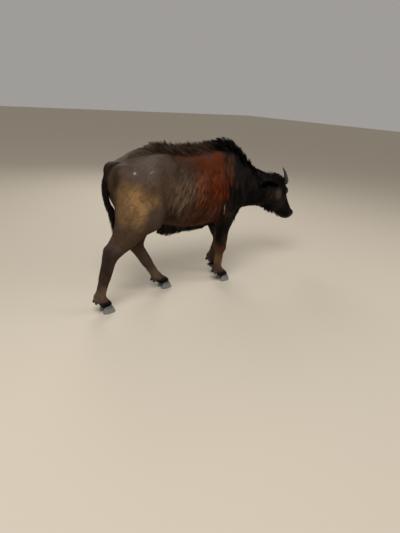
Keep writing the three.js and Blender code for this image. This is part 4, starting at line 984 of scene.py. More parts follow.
hoof_stuff, tree = new_material("dusty blue-grey hoof")
place = add(tree, "TexCoord")
dust = add(tree, "TexNoise", {}, {
    "Vector": place.outputs["Object"], "Scale": DUST_PATCHES, "Detail": 4.0,
})
growth = add(tree, "TexWave", {"bands_direction": "Z"}, {
    "Vector": place.outputs["Object"], "Scale": 1000 / GROWTH_MM / math.pi, "Distortion": 3.0,
    "Detail": 2.0, "Detail Scale": 1.5,
})
tone = add(tree, "Mix", {"data_type": "RGBA"}, {
    0: dust.outputs["Fac"], 6: linear("#5a5d60"), 7: linear("#8a8a86"),
})
relief = add(tree, "Bump", {}, {"Height": growth.outputs["Fac"], "Distance": 0.0008, "Strength": 0.4})
height = add(tree, "SeparateXYZ", {}, {"Vector": place.outputs["Object"]})
upper = add(tree, "MapRange", {}, {"Value": height.outputs["Z"], "From Min": 0.03, "From Max": 0.066})
# darker towards the top of the hoof, just under the hair
with_dark_top = add(tree, "Mix", {"data_type": "RGBA"}, {
    0: upper.outputs[0], 6: tone.outputs[2], 7: linear("#1d1a19"),
})
shader = add(tree, "BsdfPrincipled", {}, {
    "Base Color": with_dark_top.outputs[2], "Roughness": 0.55, "IOR": 1.55, "Normal": relief.outputs["Normal"],
})
add(tree, "OutputMaterial", {}, {"Surface": shader.outputs["BSDF"]})
print("hoof rings every", GROWTH_MM, "mm")

# %% [markdown]
# The eye is wet and almost black: a broad pupil, a dark brown iris, and a lighter rim that the
# lids nearly hide. The tear film makes it the only sharp highlight on the animal. The rings of
# colour go by the angle from the way the eye looks, which the mesh carries.

# %% Material: wet eye
eye_stuff, tree = new_material("wet dark eye")
from_axis = add(tree, "Attribute", {"attribute_name": "from_axis"})
rings = add(tree, "ValToRGB", {}, {"Fac": from_axis.outputs["Fac"]})
ramp_stops = rings.color_ramp
ramp_stops.elements[0].color = linear("#020202")
ramp_stops.elements[0].position = 0.2
ramp_stops.elements[1].color = linear("#1c0e07")
ramp_stops.elements[1].position = 0.26
for stop, code in ((0.5, "#120a06"), (0.62, "#0a0706"), (0.8, "#2a211d")):
    ramp_stops.elements.new(stop).color = linear(code)
shader = add(tree, "BsdfPrincipled", {}, {
    "Base Color": rings.outputs["Color"], "Roughness": 0.09, "IOR": 1.38, "Coat Weight": 0.2,
    "Coat Roughness": 0.03,
})
add(tree, "OutputMaterial", {}, {"Surface": shader.outputs["BSDF"]})
print("materials:", [m.name for m in (hide, leather, horn_stuff, hoof_stuff, eye_stuff)])

# %% [markdown]
# Now the meshes. Arrays of points and faces go straight into Blender's own arrays, which is much
# quicker than adding them one by one. Every piece rides on the one body of the still model.

# %% From points to an object
def dress(piece, weights):
    for name, values in weights.items():
        layer = piece.data.attributes.new(name, "FLOAT", "POINT")
        layer.data.foreach_set("value", np.asarray(values, np.float32))


def new_piece(name, points, faces, material):
    points, faces = np.asarray(points, float), np.asarray(faces, np.int32)
    mesh = bpy.data.meshes.new(name)
    mesh.vertices.add(len(points))
    mesh.vertices.foreach_set("co", (points * MM + OFFSET).astype(np.float32).ravel())
    mesh.loops.add(faces.size)
    mesh.loops.foreach_set("vertex_index", faces.ravel())
    mesh.polygons.add(len(faces))
    starts = np.arange(0, faces.size, faces.shape[1], dtype=np.int32)
    mesh.polygons.foreach_set("loop_start", starts)
    mesh.update(calc_edges=True)
    mesh.shade_smooth()
    mesh.materials.append(material)
    piece = bpy.data.objects.new(name, mesh)
    bpy.context.scene.collection.objects.link(piece)
    return piece


def finish_piece(piece, nodes=()):
    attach(piece, "root")
    if nodes:
        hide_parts(*nodes)
    return piece


# %% [markdown]
# The skin is one piece from nose to tail, so that no seam shows where the solids are cut. It has
# two materials: bare leather on the nose pad and in the nostrils, and hide everywhere else.

# %% The skin
NOSE_PAD_FROM = 398.0
NOSE_PAD_HEIGHTS = (-98.0, -22.0)

skin_mesh = bpy.data.meshes.new("skin")
bm.to_mesh(skin_mesh)
bm.free()
skin_mesh.shade_smooth()
skin_mesh.materials.append(hide)
skin_mesh.materials.append(leather)
skin_piece = bpy.data.objects.new("skin", skin_mesh)
bpy.context.scene.collection.objects.link(skin_piece)
dress(skin_piece, markings(fine))
dress(skin_piece, {"pale": pale_marks(fine)})
centres = np.empty(len(skin_mesh.polygons) * 3)
skin_mesh.polygons.foreach_get("center", centres)
centres = (centres.reshape(-1, 3) - OFFSET) / MM
a, l, o = in_head(centres).T
bare = (a > NOSE_PAD_FROM) & (o > NOSE_PAD_HEIGHTS[0]) & (o < NOSE_PAD_HEIGHTS[1])
bare |= (nostril_share(centres) < 1.5) & (a > MUZZLE_FROM + 2)
skin_mesh.polygons.foreach_set("material_index", bare.astype(np.int32))
flesh = [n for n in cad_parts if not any(w in n for w in ("claw", "horn", "eye", "ear"))]
finish_piece(skin_piece, flesh)
print("skin stands for", len(flesh), "nodes,", len(skin_mesh.polygons), "faces")

# %% [markdown]
# Horns, ears, hooves and eyes are rings of points carried along a curve. A smooth curve through
# a few named places is read at even steps, and each step gets a ring square to the way it goes.

# %% Rings along a curve
CURVE_SPLITS = 24


def smooth_path(places, steps):
    """Even steps along a smooth curve through the places."""
    places = np.array(places, float)
    ends = np.vstack([2 * places[0] - places[1], places, 2 * places[-1] - places[-2]])
    fine_path = []
    for i in range(len(places) - 1):
        p0, p1, p2, p3 = ends[i:i + 4]
        t = np.linspace(0, 1, CURVE_SPLITS, endpoint=False)[:, None]
        fine_path.append(0.5 * (
            2 * p1 + (p2 - p0) * t + (2 * p0 - 5 * p1 + 4 * p2 - p3) * t**2
            + (3 * p1 - p0 - 3 * p2 + p3) * t**3
        ))
    path = np.vstack(fine_path + [places[-1:]])
    gone = np.concatenate([[0], np.cumsum(np.linalg.norm(np.diff(path, axis=0), axis=1))])
    at = np.linspace(0, gone[-1], steps + 1)
    return np.stack([np.interp(at, gone, column) for column in path.T], 1)


def unit(v):
    return v / np.maximum(np.linalg.norm(v, axis=-1, keepdims=True), 1e-9)


def sweep(path, sides, outline):
    """Rings along a path. outline(turn, share) gives each ring's places across it."""
    ways = unit(np.gradient(path, axis=0))
    across = np.array([0.0, 1.0, 0.0])
    turn = 2 * math.pi * np.arange(sides) / sides
    rings = []
    for i, way in enumerate(ways):
        across = unit(across - way * (across @ way))
        third = np.cross(way, across)
        u, v = outline(turn, i / (len(path) - 1))
        rings.append(path[i] + np.outer(u, across) + np.outer(v, third))
    return close_rings(np.array(rings))


def close_rings(rings):
    """Two triangles for each side between two rings, and a fan of them over both ends."""
    count, sides = rings.shape[:2]
    points = np.vstack([rings.reshape(-1, 3), rings[0].mean(0), rings[-1].mean(0)])
    k = np.arange(sides)
    after = (k + 1) % sides
    faces = []
    for ring in range(count - 1):
        here, there = ring * sides, (ring + 1) * sides
        faces.append(np.stack([here + k, here + after, there + after], 1))
        faces.append(np.stack([here + k, there + after, there + k], 1))
    first, last = count * sides, count * sides + 1
    faces.append(np.stack([after, k, np.full(sides, first)], 1))
    end = (count - 1) * sides
    faces.append(np.stack([end + k, end + after, np.full(sides, last)], 1))
    return points, outward_faces(points, np.concatenate(faces))


def outward_faces(points, faces):
    a, b, c = (points[faces[:, i]] for i in range(3))
    volume = np.einsum("ij,ij->", a, np.cross(b, c))
    return faces if volume > 0 else faces[:, ::-1]


arch = smooth_path([[0, 0, 0], [50, 0, 50], [100, 0, 0]], 10)
print("a curve through three places, in even steps:", len(arch), "points")

# %% [markdown]
# A young bull's horn is thick and ringed at the base, three-sided with rounded edges, and
# smooth and turning up at the tip. It is set in the skin of the poll, square to the forehead.

# %% Horns
HORN_HALF = (23, 28)
HORN_TAPER = 0.88
# painted sunlight falls on the side of each horn that faces this way
SUNLIT_SIDE = np.array([0.94, -0.1, -0.3])
HORNS = {
    "right": [[1168, -50, 782], [1180, -92, 797], [1168, -128, 820],
              [1135, -152, 858], [1095, -165, 908], [1058, -165, 950]],
    "left": [[1168, -10, 782], [1174, 32, 800], [1150, 72, 826],
             [1108, 100, 852], [1058, 112, 884], [1020, 112, 898]],
}


def horn_outline(turn, share):
    rings = 0.035 * math.cos(share * 60) + 0.012 * math.cos(share * 151)
    size = (1 - HORN_TAPER * share**1.4) * (1 + rings * (1 - share))
    size = size * (1 + 0.1 * np.cos(3 * turn))
    return HORN_HALF[0] * size * np.cos(turn), HORN_HALF[1] * size * np.sin(turn)


for name, places in HORNS.items():
    points, faces = sweep(smooth_path(places, 140), 36, horn_outline)
    horn = new_piece("horn_" + name, points, faces, horn_stuff)
    facing = np.array([vertex.normal for vertex in horn.data.vertices])
    # painted sunlight on the horn: 1 where it faces the lit side, 0 where it faces away
    dress(horn, {"painted_sunlight": ramp(facing @ SUNLIT_SIDE, 0.0, 0.8)})
    finish_piece(horn, ["horn_" + name])
print("horns:", len(points), "points each")

# %% [markdown]
# An eye is a ball. Its colour goes by the angle from the way it looks: pupil, iris, dark rim.

# %% Eyes
def globe(centre, radius, rows=48):
    polar = math.pi * np.clip(np.arange(rows + 1) / rows, 0.01, 0.99)
    turn = 2 * math.pi * np.arange(2 * rows) / (2 * rows)
    rings = np.stack([
        np.sin(polar)[:, None] * np.cos(turn),
        np.sin(polar)[:, None] * np.sin(turn),
        np.repeat(np.cos(polar)[:, None], len(turn), 1),
    ], -1)
    return close_rings(centre + radius * rings)


for name, way in (("right", -1), ("left", 1)):
    centre = eye_centre(way)
    points, faces = globe(centre, EYE_RADIUS)
    looks = unit(0.18 * head_along + way * head_left + 0.1 * head_out)
    eye = new_piece("eye_" + name, points, faces, eye_stuff)
    cosine = np.clip(unit(points - centre) @ looks, -1, 1)
    dress(eye, {"from_axis": np.degrees(np.arccos(cosine)) / 90})
    finish_piece(eye, ["eye_" + name])
print("eyes:", 2 * EYE_RADIUS, "mm across")

# %% [markdown]
# A hoof is two claws of horn. Each is a wedge with a flat sole, a rounded toe and an upright
# inner wall, and grows from the coronet in faint rings. Two dewclaws hang behind the fetlock.

# %% Hooves
TOE_SLOPE = 26
HEEL_SLOPE = 12
CLAW_SQUARENESS = 2.4


def claw(leg, way):
    half = HOOF_WIDTH / 4
    turn = 2 * math.pi * np.arange(40) / 40
    reach = np.abs(np.cos(turn)) ** CLAW_SQUARENESS + np.abs(np.sin(turn)) ** CLAW_SQUARENESS
    squash = reach ** (-1 / CLAW_SQUARENESS)
    forward, aside = np.cos(turn) * squash, np.sin(turn) * squash
    rings = []
    for share in np.concatenate([[0, 0.02, 0.06], np.linspace(0.1, 1.06, 22)]):
        size = np.interp(share, [0, 0.02, 0.1, 0.5, 1.06], [0.95, 0.99, 1.02, 0.97, 0.85])
        size *= 1 + 0.006 * math.sin(share * 44)
        toe, heel = -share * TOE_SLOPE, -HOOF_LENGTH + share * HEEL_SLOPE
        ahead = (toe + heel) / 2 + forward * (toe - heel) / 2 * size
        height = share * (HOOF_HEIGHT + CORONET_SLOPE * (ahead - CORONET_MIDDLE))
        inner = np.where(aside * way < 0, 0.82, 1.08)
        ring = leg["toe"] + np.outer(ahead, leg["ahead"]) + np.outer(height, leg["rise"])
        ring[:, 1] += way * (half + 1.5) + aside * half * inner * size - way * forward * 3
        rings.append(ring)
    return close_rings(np.array(rings))


def dewclaw_outline(turn, share):
    size = 13 - 5 * share**2
    return size * np.cos(turn), size * np.sin(turn)


def dewclaw(leg, way):
    root = leg["fetlock"] + [-22, way * 17, -14]
    tip = leg["fetlock"] + [-41, way * 20, -36]
    path = smooth_path([root, (root + tip) / 2 + [-2, 0, 2], tip], 16)
    return sweep(path, 18, dewclaw_outline)


for name, leg in LEGS.items():
    for side_name, way in (("left", 1), ("right", -1)):
        for kind, maker in (("claw", claw), ("dewclaw", dewclaw)):
            points, faces = maker(leg, way)
            node = f"{name}_{kind}_{side_name}"
            finish_piece(new_piece(node, points, faces, hoof_stuff), [node])
print("hooves on", list(LEGS))

# %% [markdown]
# An ear is a long leaf, rolled at its root into the head and open below and outwards. The leaf
# is a thin shell: its section is a crescent, so that the cup is really hollow.

# %% Ears
EAR_HALF = 48.0
EAR_BACK = 18


def ear_frame(shape):
    base, tip = np.array(shape["base"], float), np.array(shape["tip"], float)
    forward = unit(tip - base)
    inward = np.array(shape["mouth"], float)
    inward = unit(inward - forward * (inward @ forward))
    return base, tip, forward, inward, np.cross(forward, inward)


def ear_width(share):
    inside = np.clip(share, 0, 1)
    leaf = 0.3 + 0.7 * np.sin(math.pi * inside**0.9) ** 0.8
    return EAR_HALF * leaf * np.clip((1.03 - share) / 0.06, 0.1, 1) ** 0.5


def ear_leaf(shape, rows=44, columns=22):
    """The leaf's outer and inner faces, as one closed shell."""
    base, tip, forward, inward, across = ear_frame(shape)
    length = np.linalg.norm(tip - base)
    rings = []
    for share in np.linspace(-0.1, 1.02, rows):
        middle = base + forward * share * length - inward * EAR_BACK * max(share, 0) ** 2
        half = ear_width(share)
        curl = np.interp(share, [-0.1, 0.1, 0.5, 1], [1.0, 0.8, 0.52, 0.35])
        thick = np.interp(share, [-0.1, 0.15, 0.6, 1], [9, 5, 3, 1.6])
        angle = np.linspace(-1, 1, columns)
        spread = math.pi / 2 * (0.6 + 0.4 * (1 - curl))
        wide = half * np.sin(angle * spread) / np.sin(spread)
        deep = -12 + curl * 26 * angle**2 * np.interp(share, [0, 0.2, 1], [0.5, 1, 0.5])
        outer = middle + np.outer(wide, across) + np.outer(deep - thick / 2, inward)
        inner = middle + np.outer(wide * 0.96, across) + np.outer(deep + thick / 2, inward)
        rings.append(np.vstack([outer, inner[::-1]]))
    return close_rings(np.array(rings))


for name, shape in EARS.items():
    points, faces = ear_leaf(shape)
    ear = new_piece("ear_" + name, points, faces, hide)
    dress(ear, {"black": np.full(len(points), 0.9)})
    finish_piece(ear, ["ear_" + name])
print("ears:", len(points), "points each")

# %% [markdown]
# The coat. It is not one length: short and flat on legs, rump and face, long and hanging on the
# shoulder and ribs, bristling along the back, hump and crest, with a fringe under belly and
# throat. Soft patches give the length, lift and lie of the hair for every place between them.

# %% Where the coat is long
# place (forward, from the middle, up), reach, then length, lift, width, and lie (forward, up), hang
COAT = [
    [[-230, 0, 1105], [160, 110, 60], 42, 14, 4.2, (-1.0, 0.2), 0.0],
    [[120, 0, 1110], [330, 150, 85], 62, 36, 4.0, (-1.0, 0.3), 0.0],
    [[540, 0, 1140], [230, 130, 120], 80, 36, 4.2, (-1.0, -0.1), 0.0],
    [[720, 0, 1030], [200, 100, 120], 88, 38, 5.0, (-1.0, 0.0), 0.1],
    [[900, 0, 900], [220, 90, 90], 78, 30, 5.0, (-1.0, 0.0), 0.1],
    [[450, 190, 830], [240, 130, 300], 112, 11, 4.6, (-0.34, -1.0), 0.2],
    [[120, 220, 800], [290, 140, 290], 92, 9, 4.4, (-0.4, -1.0), 0.15],
    [[860, 90, 760], [230, 80, 200], 80, 10, 4.4, (-0.4, -1.0), 0.2],
    [[640, 110, 700], [150, 90, 160], 76, 10, 4.4, (-0.3, -1.0), 0.3],
    [[850, 0, 615], [260, 110, 80], 56, 10, 4.4, (-0.8, -1.0), 0.4],
    [[180, 0, 525], [330, 150, 75], 62, 16, 4.6, (-0.4, -1.0), 0.75],
    [[620, 0, 590], [120, 100, 90], 56, 12, 4.4, (-0.3, -1.0), 0.5],
    [[1085, 27, 580], [120, 80, 75], 72, 24, 4.4, (-0.25, -1.0), 0.8],
    [[1180, 30, 520], [100, 60, 60], 58, 18, 4.0, (-0.1, -1.0), 0.8],
    [[1130, 25, 850], [120, 110, 80], 46, 18, 4.0, (0.5, -1.0), 0.1],
]
SHORT = dict(length=21.0, lift=1.6, width=2.8)
FACE = dict(length=14.0, lift=1.0, width=1.5)
EDGE_SOFTNESS = 0.7
PATCH_STRENGTH = 1.6


def coat_at(points):
    x, _, z = points.T
    head_a = in_head(points)[:, 0]
    face = ramp(head_a, 40, 130) * (x > 1100)
    low = ramp(z, 460, 330)
    lie = np.stack([-0.8 + 0.65 * low, np.zeros(len(x)), -0.6 - 0.4 * low], 1)
    lie = lie * (1 - face)[:, None] + head_along * face[:, None]
    value = {name: SHORT[name] + (FACE[name] - SHORT[name]) * face for name in SHORT}
    value["length"] = value["length"] - 5 * low
    value["hang"] = np.zeros(len(x))
    weights = np.stack([near(points, row[0], row[1]) for row in COAT]) ** EDGE_SOFTNESS
    weights *= PATCH_STRENGTH
    share = weights / np.maximum(weights.sum(0), 1)
    rest = 1 - share.sum(0)
    for column, name in ((2, "length"), (3, "lift"), (4, "width"), (6, "hang")):
        value[name] = value[name] * rest + sum(s * row[column] for s, row in zip(share, COAT))
    lie = lie * rest[:, None]
    for s, row in zip(share, COAT):
        lie += s[:, None] * unit(np.array([row[5][0], 0, row[5][1]]))
    value["lie"] = unit(lie)
    value["long"] = 1 - rest
    return value


print("longest hair:", max(row[2] for row in COAT), "mm")

# %% [markdown]
# Roots are drawn evenly over the skin: its faces are laid end to end by area times the number of
# hairs they should have, and a root is taken at every even step, with a little chance in it.

# %% Roots of the tufts
rng = np.random.default_rng(SEED)
share_kept = 1.0
wider = 1
SKIN_FROM = -660
SKIN_LENGTH = 2080


def skin_triangles():
    skin_mesh.calc_loop_triangles()
    corners = np.empty(len(skin_mesh.loop_triangles) * 3, np.int32)
    skin_mesh.loop_triangles.foreach_get("vertices", corners)
    return fine[corners.reshape(-1, 3)]


def draw_roots(triangles, density, count):
    a, b, c = triangles[:, 0], triangles[:, 1], triangles[:, 2]
    area = np.linalg.norm(np.cross(b - a, c - a), axis=1) / 2
    weight = np.cumsum(area * density)
    at = (np.arange(count) + rng.random(count)) / count * weight[-1]
    face = np.minimum(np.searchsorted(weight, at), len(area) - 1)
    u, v = rng.random((2, count))
    flip = u + v > 1
    u, v = np.where(flip, 1 - u, u), np.where(flip, 1 - v, v)
    return a[face] + u[:, None] * (b - a)[face] + v[:, None] * (c - a)[face]


def unwrap(points):
    """The skin laid flat in a square: the trunk by length and turn round it, each leg beside it."""
    x, y, z = points.T
    height = read_table(TRUNK, x)
    middle = (height[0] + height[1]) / 2
    turn = np.arctan2(y - height[3], z - middle) / (2 * math.pi) + 0.5
    trunk_u = 0.02 + 0.96 * (x - SKIN_FROM) / SKIN_LENGTH
    flat = np.stack([trunk_u, 0.02 + 0.6 * turn], 1)
    for number, leg in enumerate(LEGS.values()):
        on_leg = (z < 500) & (np.sign(y) == leg["side"]) & ((x > 300) != leg["hind"])
        shin = mix(leg["fetlock"], leg["hock"], np.clip((z[:, None] - 124) / 280, 0, 1))
        round_leg = np.arctan2(y - shin[:, 1], x - shin[:, 0]) / (2 * math.pi) + 0.5
        leg_flat = np.stack([0.02 + 0.24 * number + 0.22 * round_leg, 0.66 + 0.32 * z / 500], 1)
        flat[on_leg] = leg_flat[on_leg]
    return flat


print("keeping", share_kept, "of the tufts")

# %% [markdown]
# A tuft is a flat, three-sided blade that tapers to a point. Its root is sunk in the skin. It is
# carried over the skin step by step along the lie, and rises towards its tip. Neighbours lean to
# a common middle, as damp or dirty hair does, so that the coat breaks up into pointed locks.

# %% From paths to blades
UV_PATCH = 0.003
ROOT_DEPTH = 3.0
LOCK_REACH = 40
WIDTHS = {2: [0.9, 0.8], 4: [0.8, 1.0, 0.82, 0.5]}


def blades(name, paths, out, width, root_uv, weights, ridge=0.3, contrast=1.0, soft=0.4):
    """One mesh of tapered blades. paths has the middle of each blade's rings and, last, its tip."""
    count, rings = paths.shape[0], paths.shape[1] - 1
    ways = unit(np.diff(paths, axis=1))
    across = unit(np.cross(out[:, :rings], ways))
    size = width[:, None, None] * np.array(WIDTHS[rings])[None, :, None]
    up = np.cross(ways, across)
    left_edge = paths[:, :rings] + across * size / 2
    right_edge = paths[:, :rings] - across * size / 2
    crest = paths[:, :rings] + up * size * ridge
    sections = np.stack([left_edge, crest, right_edge], 2).reshape(count, rings * 3, 3)
    # Shading follows the skin below as well as the thin blade, as light does in a dense coat
    facing = soft * out[:, :rings] + (1 - soft) * up
    tilt = (1.3 - 0.5 * soft) * across
    normals = np.stack([facing + tilt, facing, facing - tilt], 2)
    normals = normals.reshape(count, rings * 3, 3)
    normals = unit(np.concatenate([normals, facing[:, rings - 1:rings]], 1))
    points = np.concatenate([sections, paths[:, -1:]], 1)
    each = rings * 3 + 1
    faces = [[2, 1, 0]]
    for ring in range(rings - 1):
        for k in range(3):
            a, b = ring * 3 + k, ring * 3 + (k + 1) % 3
            faces += [[a, b + 3, a + 3], [a, b, b + 3]]
    for k in range(3):
        faces.append([(rings - 1) * 3 + k, (rings - 1) * 3 + (k + 1) % 3, each - 1])
    faces = np.array(faces)
    all_faces = (np.arange(count)[:, None, None] * each + faces).reshape(-1, 3)
    piece = new_piece(name, points.reshape(-1, 3), all_faces, hair)
    along = np.append(np.repeat(np.arange(rings) / rings, 3), 1.0)
    beside = np.append(np.tile([0.0, 0.5, 1.0], rings), 0.5)
    dress(piece, {key: np.repeat(values, each) for key, values in weights.items()})
    dress(piece, {"share": np.tile(0.5 + contrast * (along - 0.5), count)})
    dress(piece, {"pale": pale_marks(points.reshape(-1, 3))})
    piece.data.normals_split_custom_set_from_vertices(normals.reshape(-1, 3).tolist())
    patch = np.stack([beside - 0.5, along - 0.5], 1) * UV_PATCH
    point_uv = (root_uv[:, None, :] + patch[None]).reshape(-1, 2)
    layer = piece.data.uv_layers.new(name="OFBake")
    layer.data.foreach_set("uv", point_uv[all_faces.ravel()].astype(np.float32).ravel())
    return piece


def turned(way, about, angle):
    """way turned about another direction, by an angle for each."""
    s, c = np.sin(angle)[:, None], np.cos(angle)[:, None]
    return way * c + np.cross(about, way) * s


def comb(roots, value, rings, clump, bend, pull):
    """Paths of the hairs that grow from the roots, and the way out of the skin along them."""
    count = len(roots)
    tree = kdtree.KDTree(max(count // clump, 1))
    leaders = rng.permutation(count)[:max(count // clump, 1)]
    for i, leader in enumerate(leaders):
        tree.insert(roots[leader], i)
    tree.balance()
    follows = leaders[np.array([tree.find(root)[1] for root in roots])]

    def chance(of_lock, of_hair):
        return rng.normal(0, of_lock, count)[follows] + rng.normal(0, of_hair, count)

    swirl = 0.34 * noise(roots, 240, 7) + 0.3 * noise(roots, 85, 13)
    lean = swirl + chance(bend, bend * 0.5)
    length = value["length"] * (1 + chance(0.14, 0.1))
    lift = value["lift"] * np.clip(1 + chance(0.25, 0.2), 0.3, 1.8)
    place = settle(roots, -ROOT_DEPTH)
    paths, outs = [place], []
    for step in range(1, rings + 1):
        out, _ = outward(place)
        outs.append(out)
        lie = value["lie"]
        into = np.einsum("ij,ij->i", lie, out) * (1 - value["hang"])
        along = unit(lie - out * into[:, None])
        along = turned(along, out, lean * step / rings)
        place = place + along * (length / rings)[:, None]
        want = -ROOT_DEPTH + (lift + ROOT_DEPTH) * (step / rings) ** 0.9
        depth = near_skin(place)
        way, steep = outward(place)
        off = (want - depth) / np.clip(steep, 0.4, 2)
        off = np.where(off > 0, off, off * (1 - value["hang"]))
        place = place + way * np.clip(off, -25, 25)[:, None]
        paths.append(place)
    paths, outs = np.stack(paths, 1), np.stack(outs, 1)
    near_leader = np.linalg.norm(roots - roots[follows], axis=1) < LOCK_REACH
    pull = pull * np.linspace(0, 1, rings + 1)[None, :, None] ** 1.3 * near_leader[:, None, None]
    return paths * (1 - pull) + paths[follows] * pull, outs, follows


print("roots are sunk", ROOT_DEPTH, "mm in the skin")


# %% [markdown]
# Hair of a buffalo is coarse keratin, dark at the root and often sun-bleached at the tip. It
# shines softly along its length. Every tuft is a little lighter or darker than its neighbour.

# %% Material: coarse hair
hair, tree = new_material("coarse buffalo hair")
strand = add(tree, "Attribute", {"attribute_name": "strand"})
share = add(tree, "Attribute", {"attribute_name": "share"})
to_tip = add(tree, "MapRange", {}, {"Value": share.outputs["Fac"], "To Min": 0.5, "To Max": 1.5})
unlike = add(tree, "MapRange", {}, {"Value": strand.outputs["Fac"], "To Min": 0.55, "To Max": 1.6})
shade = add(tree, "Math", {"operation": "MULTIPLY"}, {0: to_tip.outputs[0], 1: unlike.outputs[0]})
ground = coat_colour(tree)
tuft_colour = add(tree, "Mix", {"data_type": "RGBA", "blend_type": "MULTIPLY"}, {
    0: 1.0, 6: ground, 7: shade.outputs[0],
})
shader = add(tree, "BsdfPrincipled", {}, {
    "Base Color": tuft_colour.outputs[2], "Roughness": 0.5, "IOR": 1.55, "Specular IOR Level": 0.07,
})
add(tree, "OutputMaterial", {}, {"Surface": shader.outputs["BSDF"]})

# %% The coat over the skin
COLOUR_STRAYS = 24
DARK_LOCK = 0.62

triangles = skin_triangles()
middles = triangles.mean(1)
cover = coat_at(middles)
a, l, o = in_head(middles).T
bare_places = (nostril_share(middles) < 1.7) | (lid_share(middles)[0] < 1.45)
bare_places |= (a > NOSE_PAD_FROM - 6) & (o > NOSE_PAD_HEIGHTS[0] - 4)
long_density = np.where(bare_places, 0, cover["long"])
short_density = np.where(bare_places, 0, (1 - cover["long"]) * (1 + 1.5 * ramp(a, 20, 90)))


def region(points):
    """Splits the coat in pieces small enough to handle."""
    x, _, z = points.T
    height = read_table(TRUNK, x)
    down = (height[0] - z) / np.maximum(height[0] - height[1], 1)
    names = np.full(len(points), "ribs", dtype="<U12")
    names[(x < -110)] = "rump"
    names[(x >= -110) & (down < 0.14)] = "back"
    names[(x > 300) & (down < 0.2)] = "hump"
    names[(x > 300) & (down >= 0.2)] = "shoulder"
    names[(x >= -110) & (x <= 640) & (down > 0.86)] = "belly"
    names[(x > 690)] = "neck"
    names[z < 470] = "legs"
    names[in_head(points)[:, 0] > -20] = "head"
    return names


def grow(kind, count, density, rings, clump, bend, pull, ridge, contrast, soft):
    """Grows one kind of hair over the whole skin, and gives its number of faces."""
    count = max(int(count * share_kept), 40)
    roots = draw_roots(triangles, density, count)
    value = coat_at(roots)
    value["length"] = value["length"] * rng.uniform(0.8, 1.15, count)
    paths, outs, follows = comb(roots, value, rings, clump, bend, pull)
    # Long hairs of one lock share its colour, which strays a little from that of the skin there
    strayed = roots[follows] + rng.normal(0, COLOUR_STRAYS, (count, 3))[follows]
    together = np.linalg.norm(roots - roots[follows], axis=1) < 1.5 * LOCK_REACH
    together &= value["long"] > 0.3
    paint = markings(np.where(together[:, None], strayed, roots))
    dark_lock = DARK_LOCK * ramp(rng.random(count)[follows], 0.62, 0.9) * value["long"]
    paint["black"] = np.maximum(paint["black"], dark_lock)
    own = 0.2 + 0.6 * rng.random(count)
    shared = rng.random(count)[follows]
    paint["strand"] = np.clip(own + (0.7 * (shared - 0.5)) * value["long"], 0, 1)
    names = region(roots)
    flat = unwrap(roots)
    width = value["width"] * rng.uniform(0.7, 1.25, count) * wider
    made = 0
    for name in np.unique(names):
        rows = names == name
        piece = blades(f"coat_{name}_{kind}", paths[rows], outs[rows], width[rows], flat[rows],
                       {key: values[rows] for key, values in paint.items()}, ridge, contrast, soft)
        finish_piece(piece)
        made += len(piece.data.polygons)
        print(" ", piece.name, len(piece.data.polygons), "faces")
    return made


made = grow("long", 33000, long_density, rings=4, clump=8, bend=0.13, pull=0.6,
            ridge=0.3, contrast=1.0, soft=0.45)
made += grow("short", 56000, short_density, rings=2, clump=4, bend=0.12, pull=0.0,
             ridge=0.15, contrast=0.35, soft=0.9)
print("coat:", made, "faces")

# %% [markdown]
# The switch of the tail and the fringe of each ear don't lie on the skin but hang free. Each hair
# sets out along its own way and then bends down under its weight, so no skin has to be felt for.

# %% Hair that hangs free
FREE_RINGS = 4


def free_hair(name, roots, way, out, length, drop, widths, sunk=0):
    """A piece of black hairs that set out along a way and bend down under their weight."""
    starts = roots - out * sunk
    paths = []
    for share in np.linspace(0, 1, FREE_RINGS + 1):
        forward = way * (length * share * (1 - 0.35 * share))[:, None]
        down = np.array([0, 0, -1.0]) * (length * drop * share**2)[:, None]
        paths.append(starts + forward + down)
    paint = {"black": np.full(len(roots), 0.95), "strand": rng.random(len(roots))}
    outs = np.repeat(out[:, None], FREE_RINGS + 1, 1)
    width = rng.uniform(*widths, len(roots))
    piece = blades(name, np.stack(paths, 1), outs, width, unwrap(roots), paint)
    finish_piece(piece)
    print(name, len(piece.data.polygons), "faces")


# %% Tail switch
TAIL_STEPS = 200
SWITCH_END = 395

count = max(int(3000 * share_kept), 40)
tail_path = smooth_path(TAIL, TAIL_STEPS)
at = rng.uniform(0.22, 1.0, count)
turn = rng.uniform(0, 2 * math.pi, count)
middle = tail_path[(at * TAIL_STEPS).astype(int)]
radial = np.stack([np.cos(turn), np.sin(turn), np.zeros(count)], 1)
tail_way = unit(np.gradient(tail_path, axis=0))[(at * TAIL_STEPS).astype(int)]
radial = unit(np.cross(tail_way, radial))
roots = middle + radial * np.interp(at, TAIL_SHARES, [24, 12, 6])[:, None]
way = unit(radial * 0.3 + tail_way + rng.normal(0, 0.1, (count, 3)))
length = (28 + 120 * ramp(at, 0.42, 0.72)) * rng.uniform(0.7, 1.1, count)
length = np.minimum(length, (middle[:, 2] - SWITCH_END) * rng.uniform(0.9, 1.1, count))
free_hair("switch_hair", roots, way, radial, length, 0.3, (2.5, 4.5))

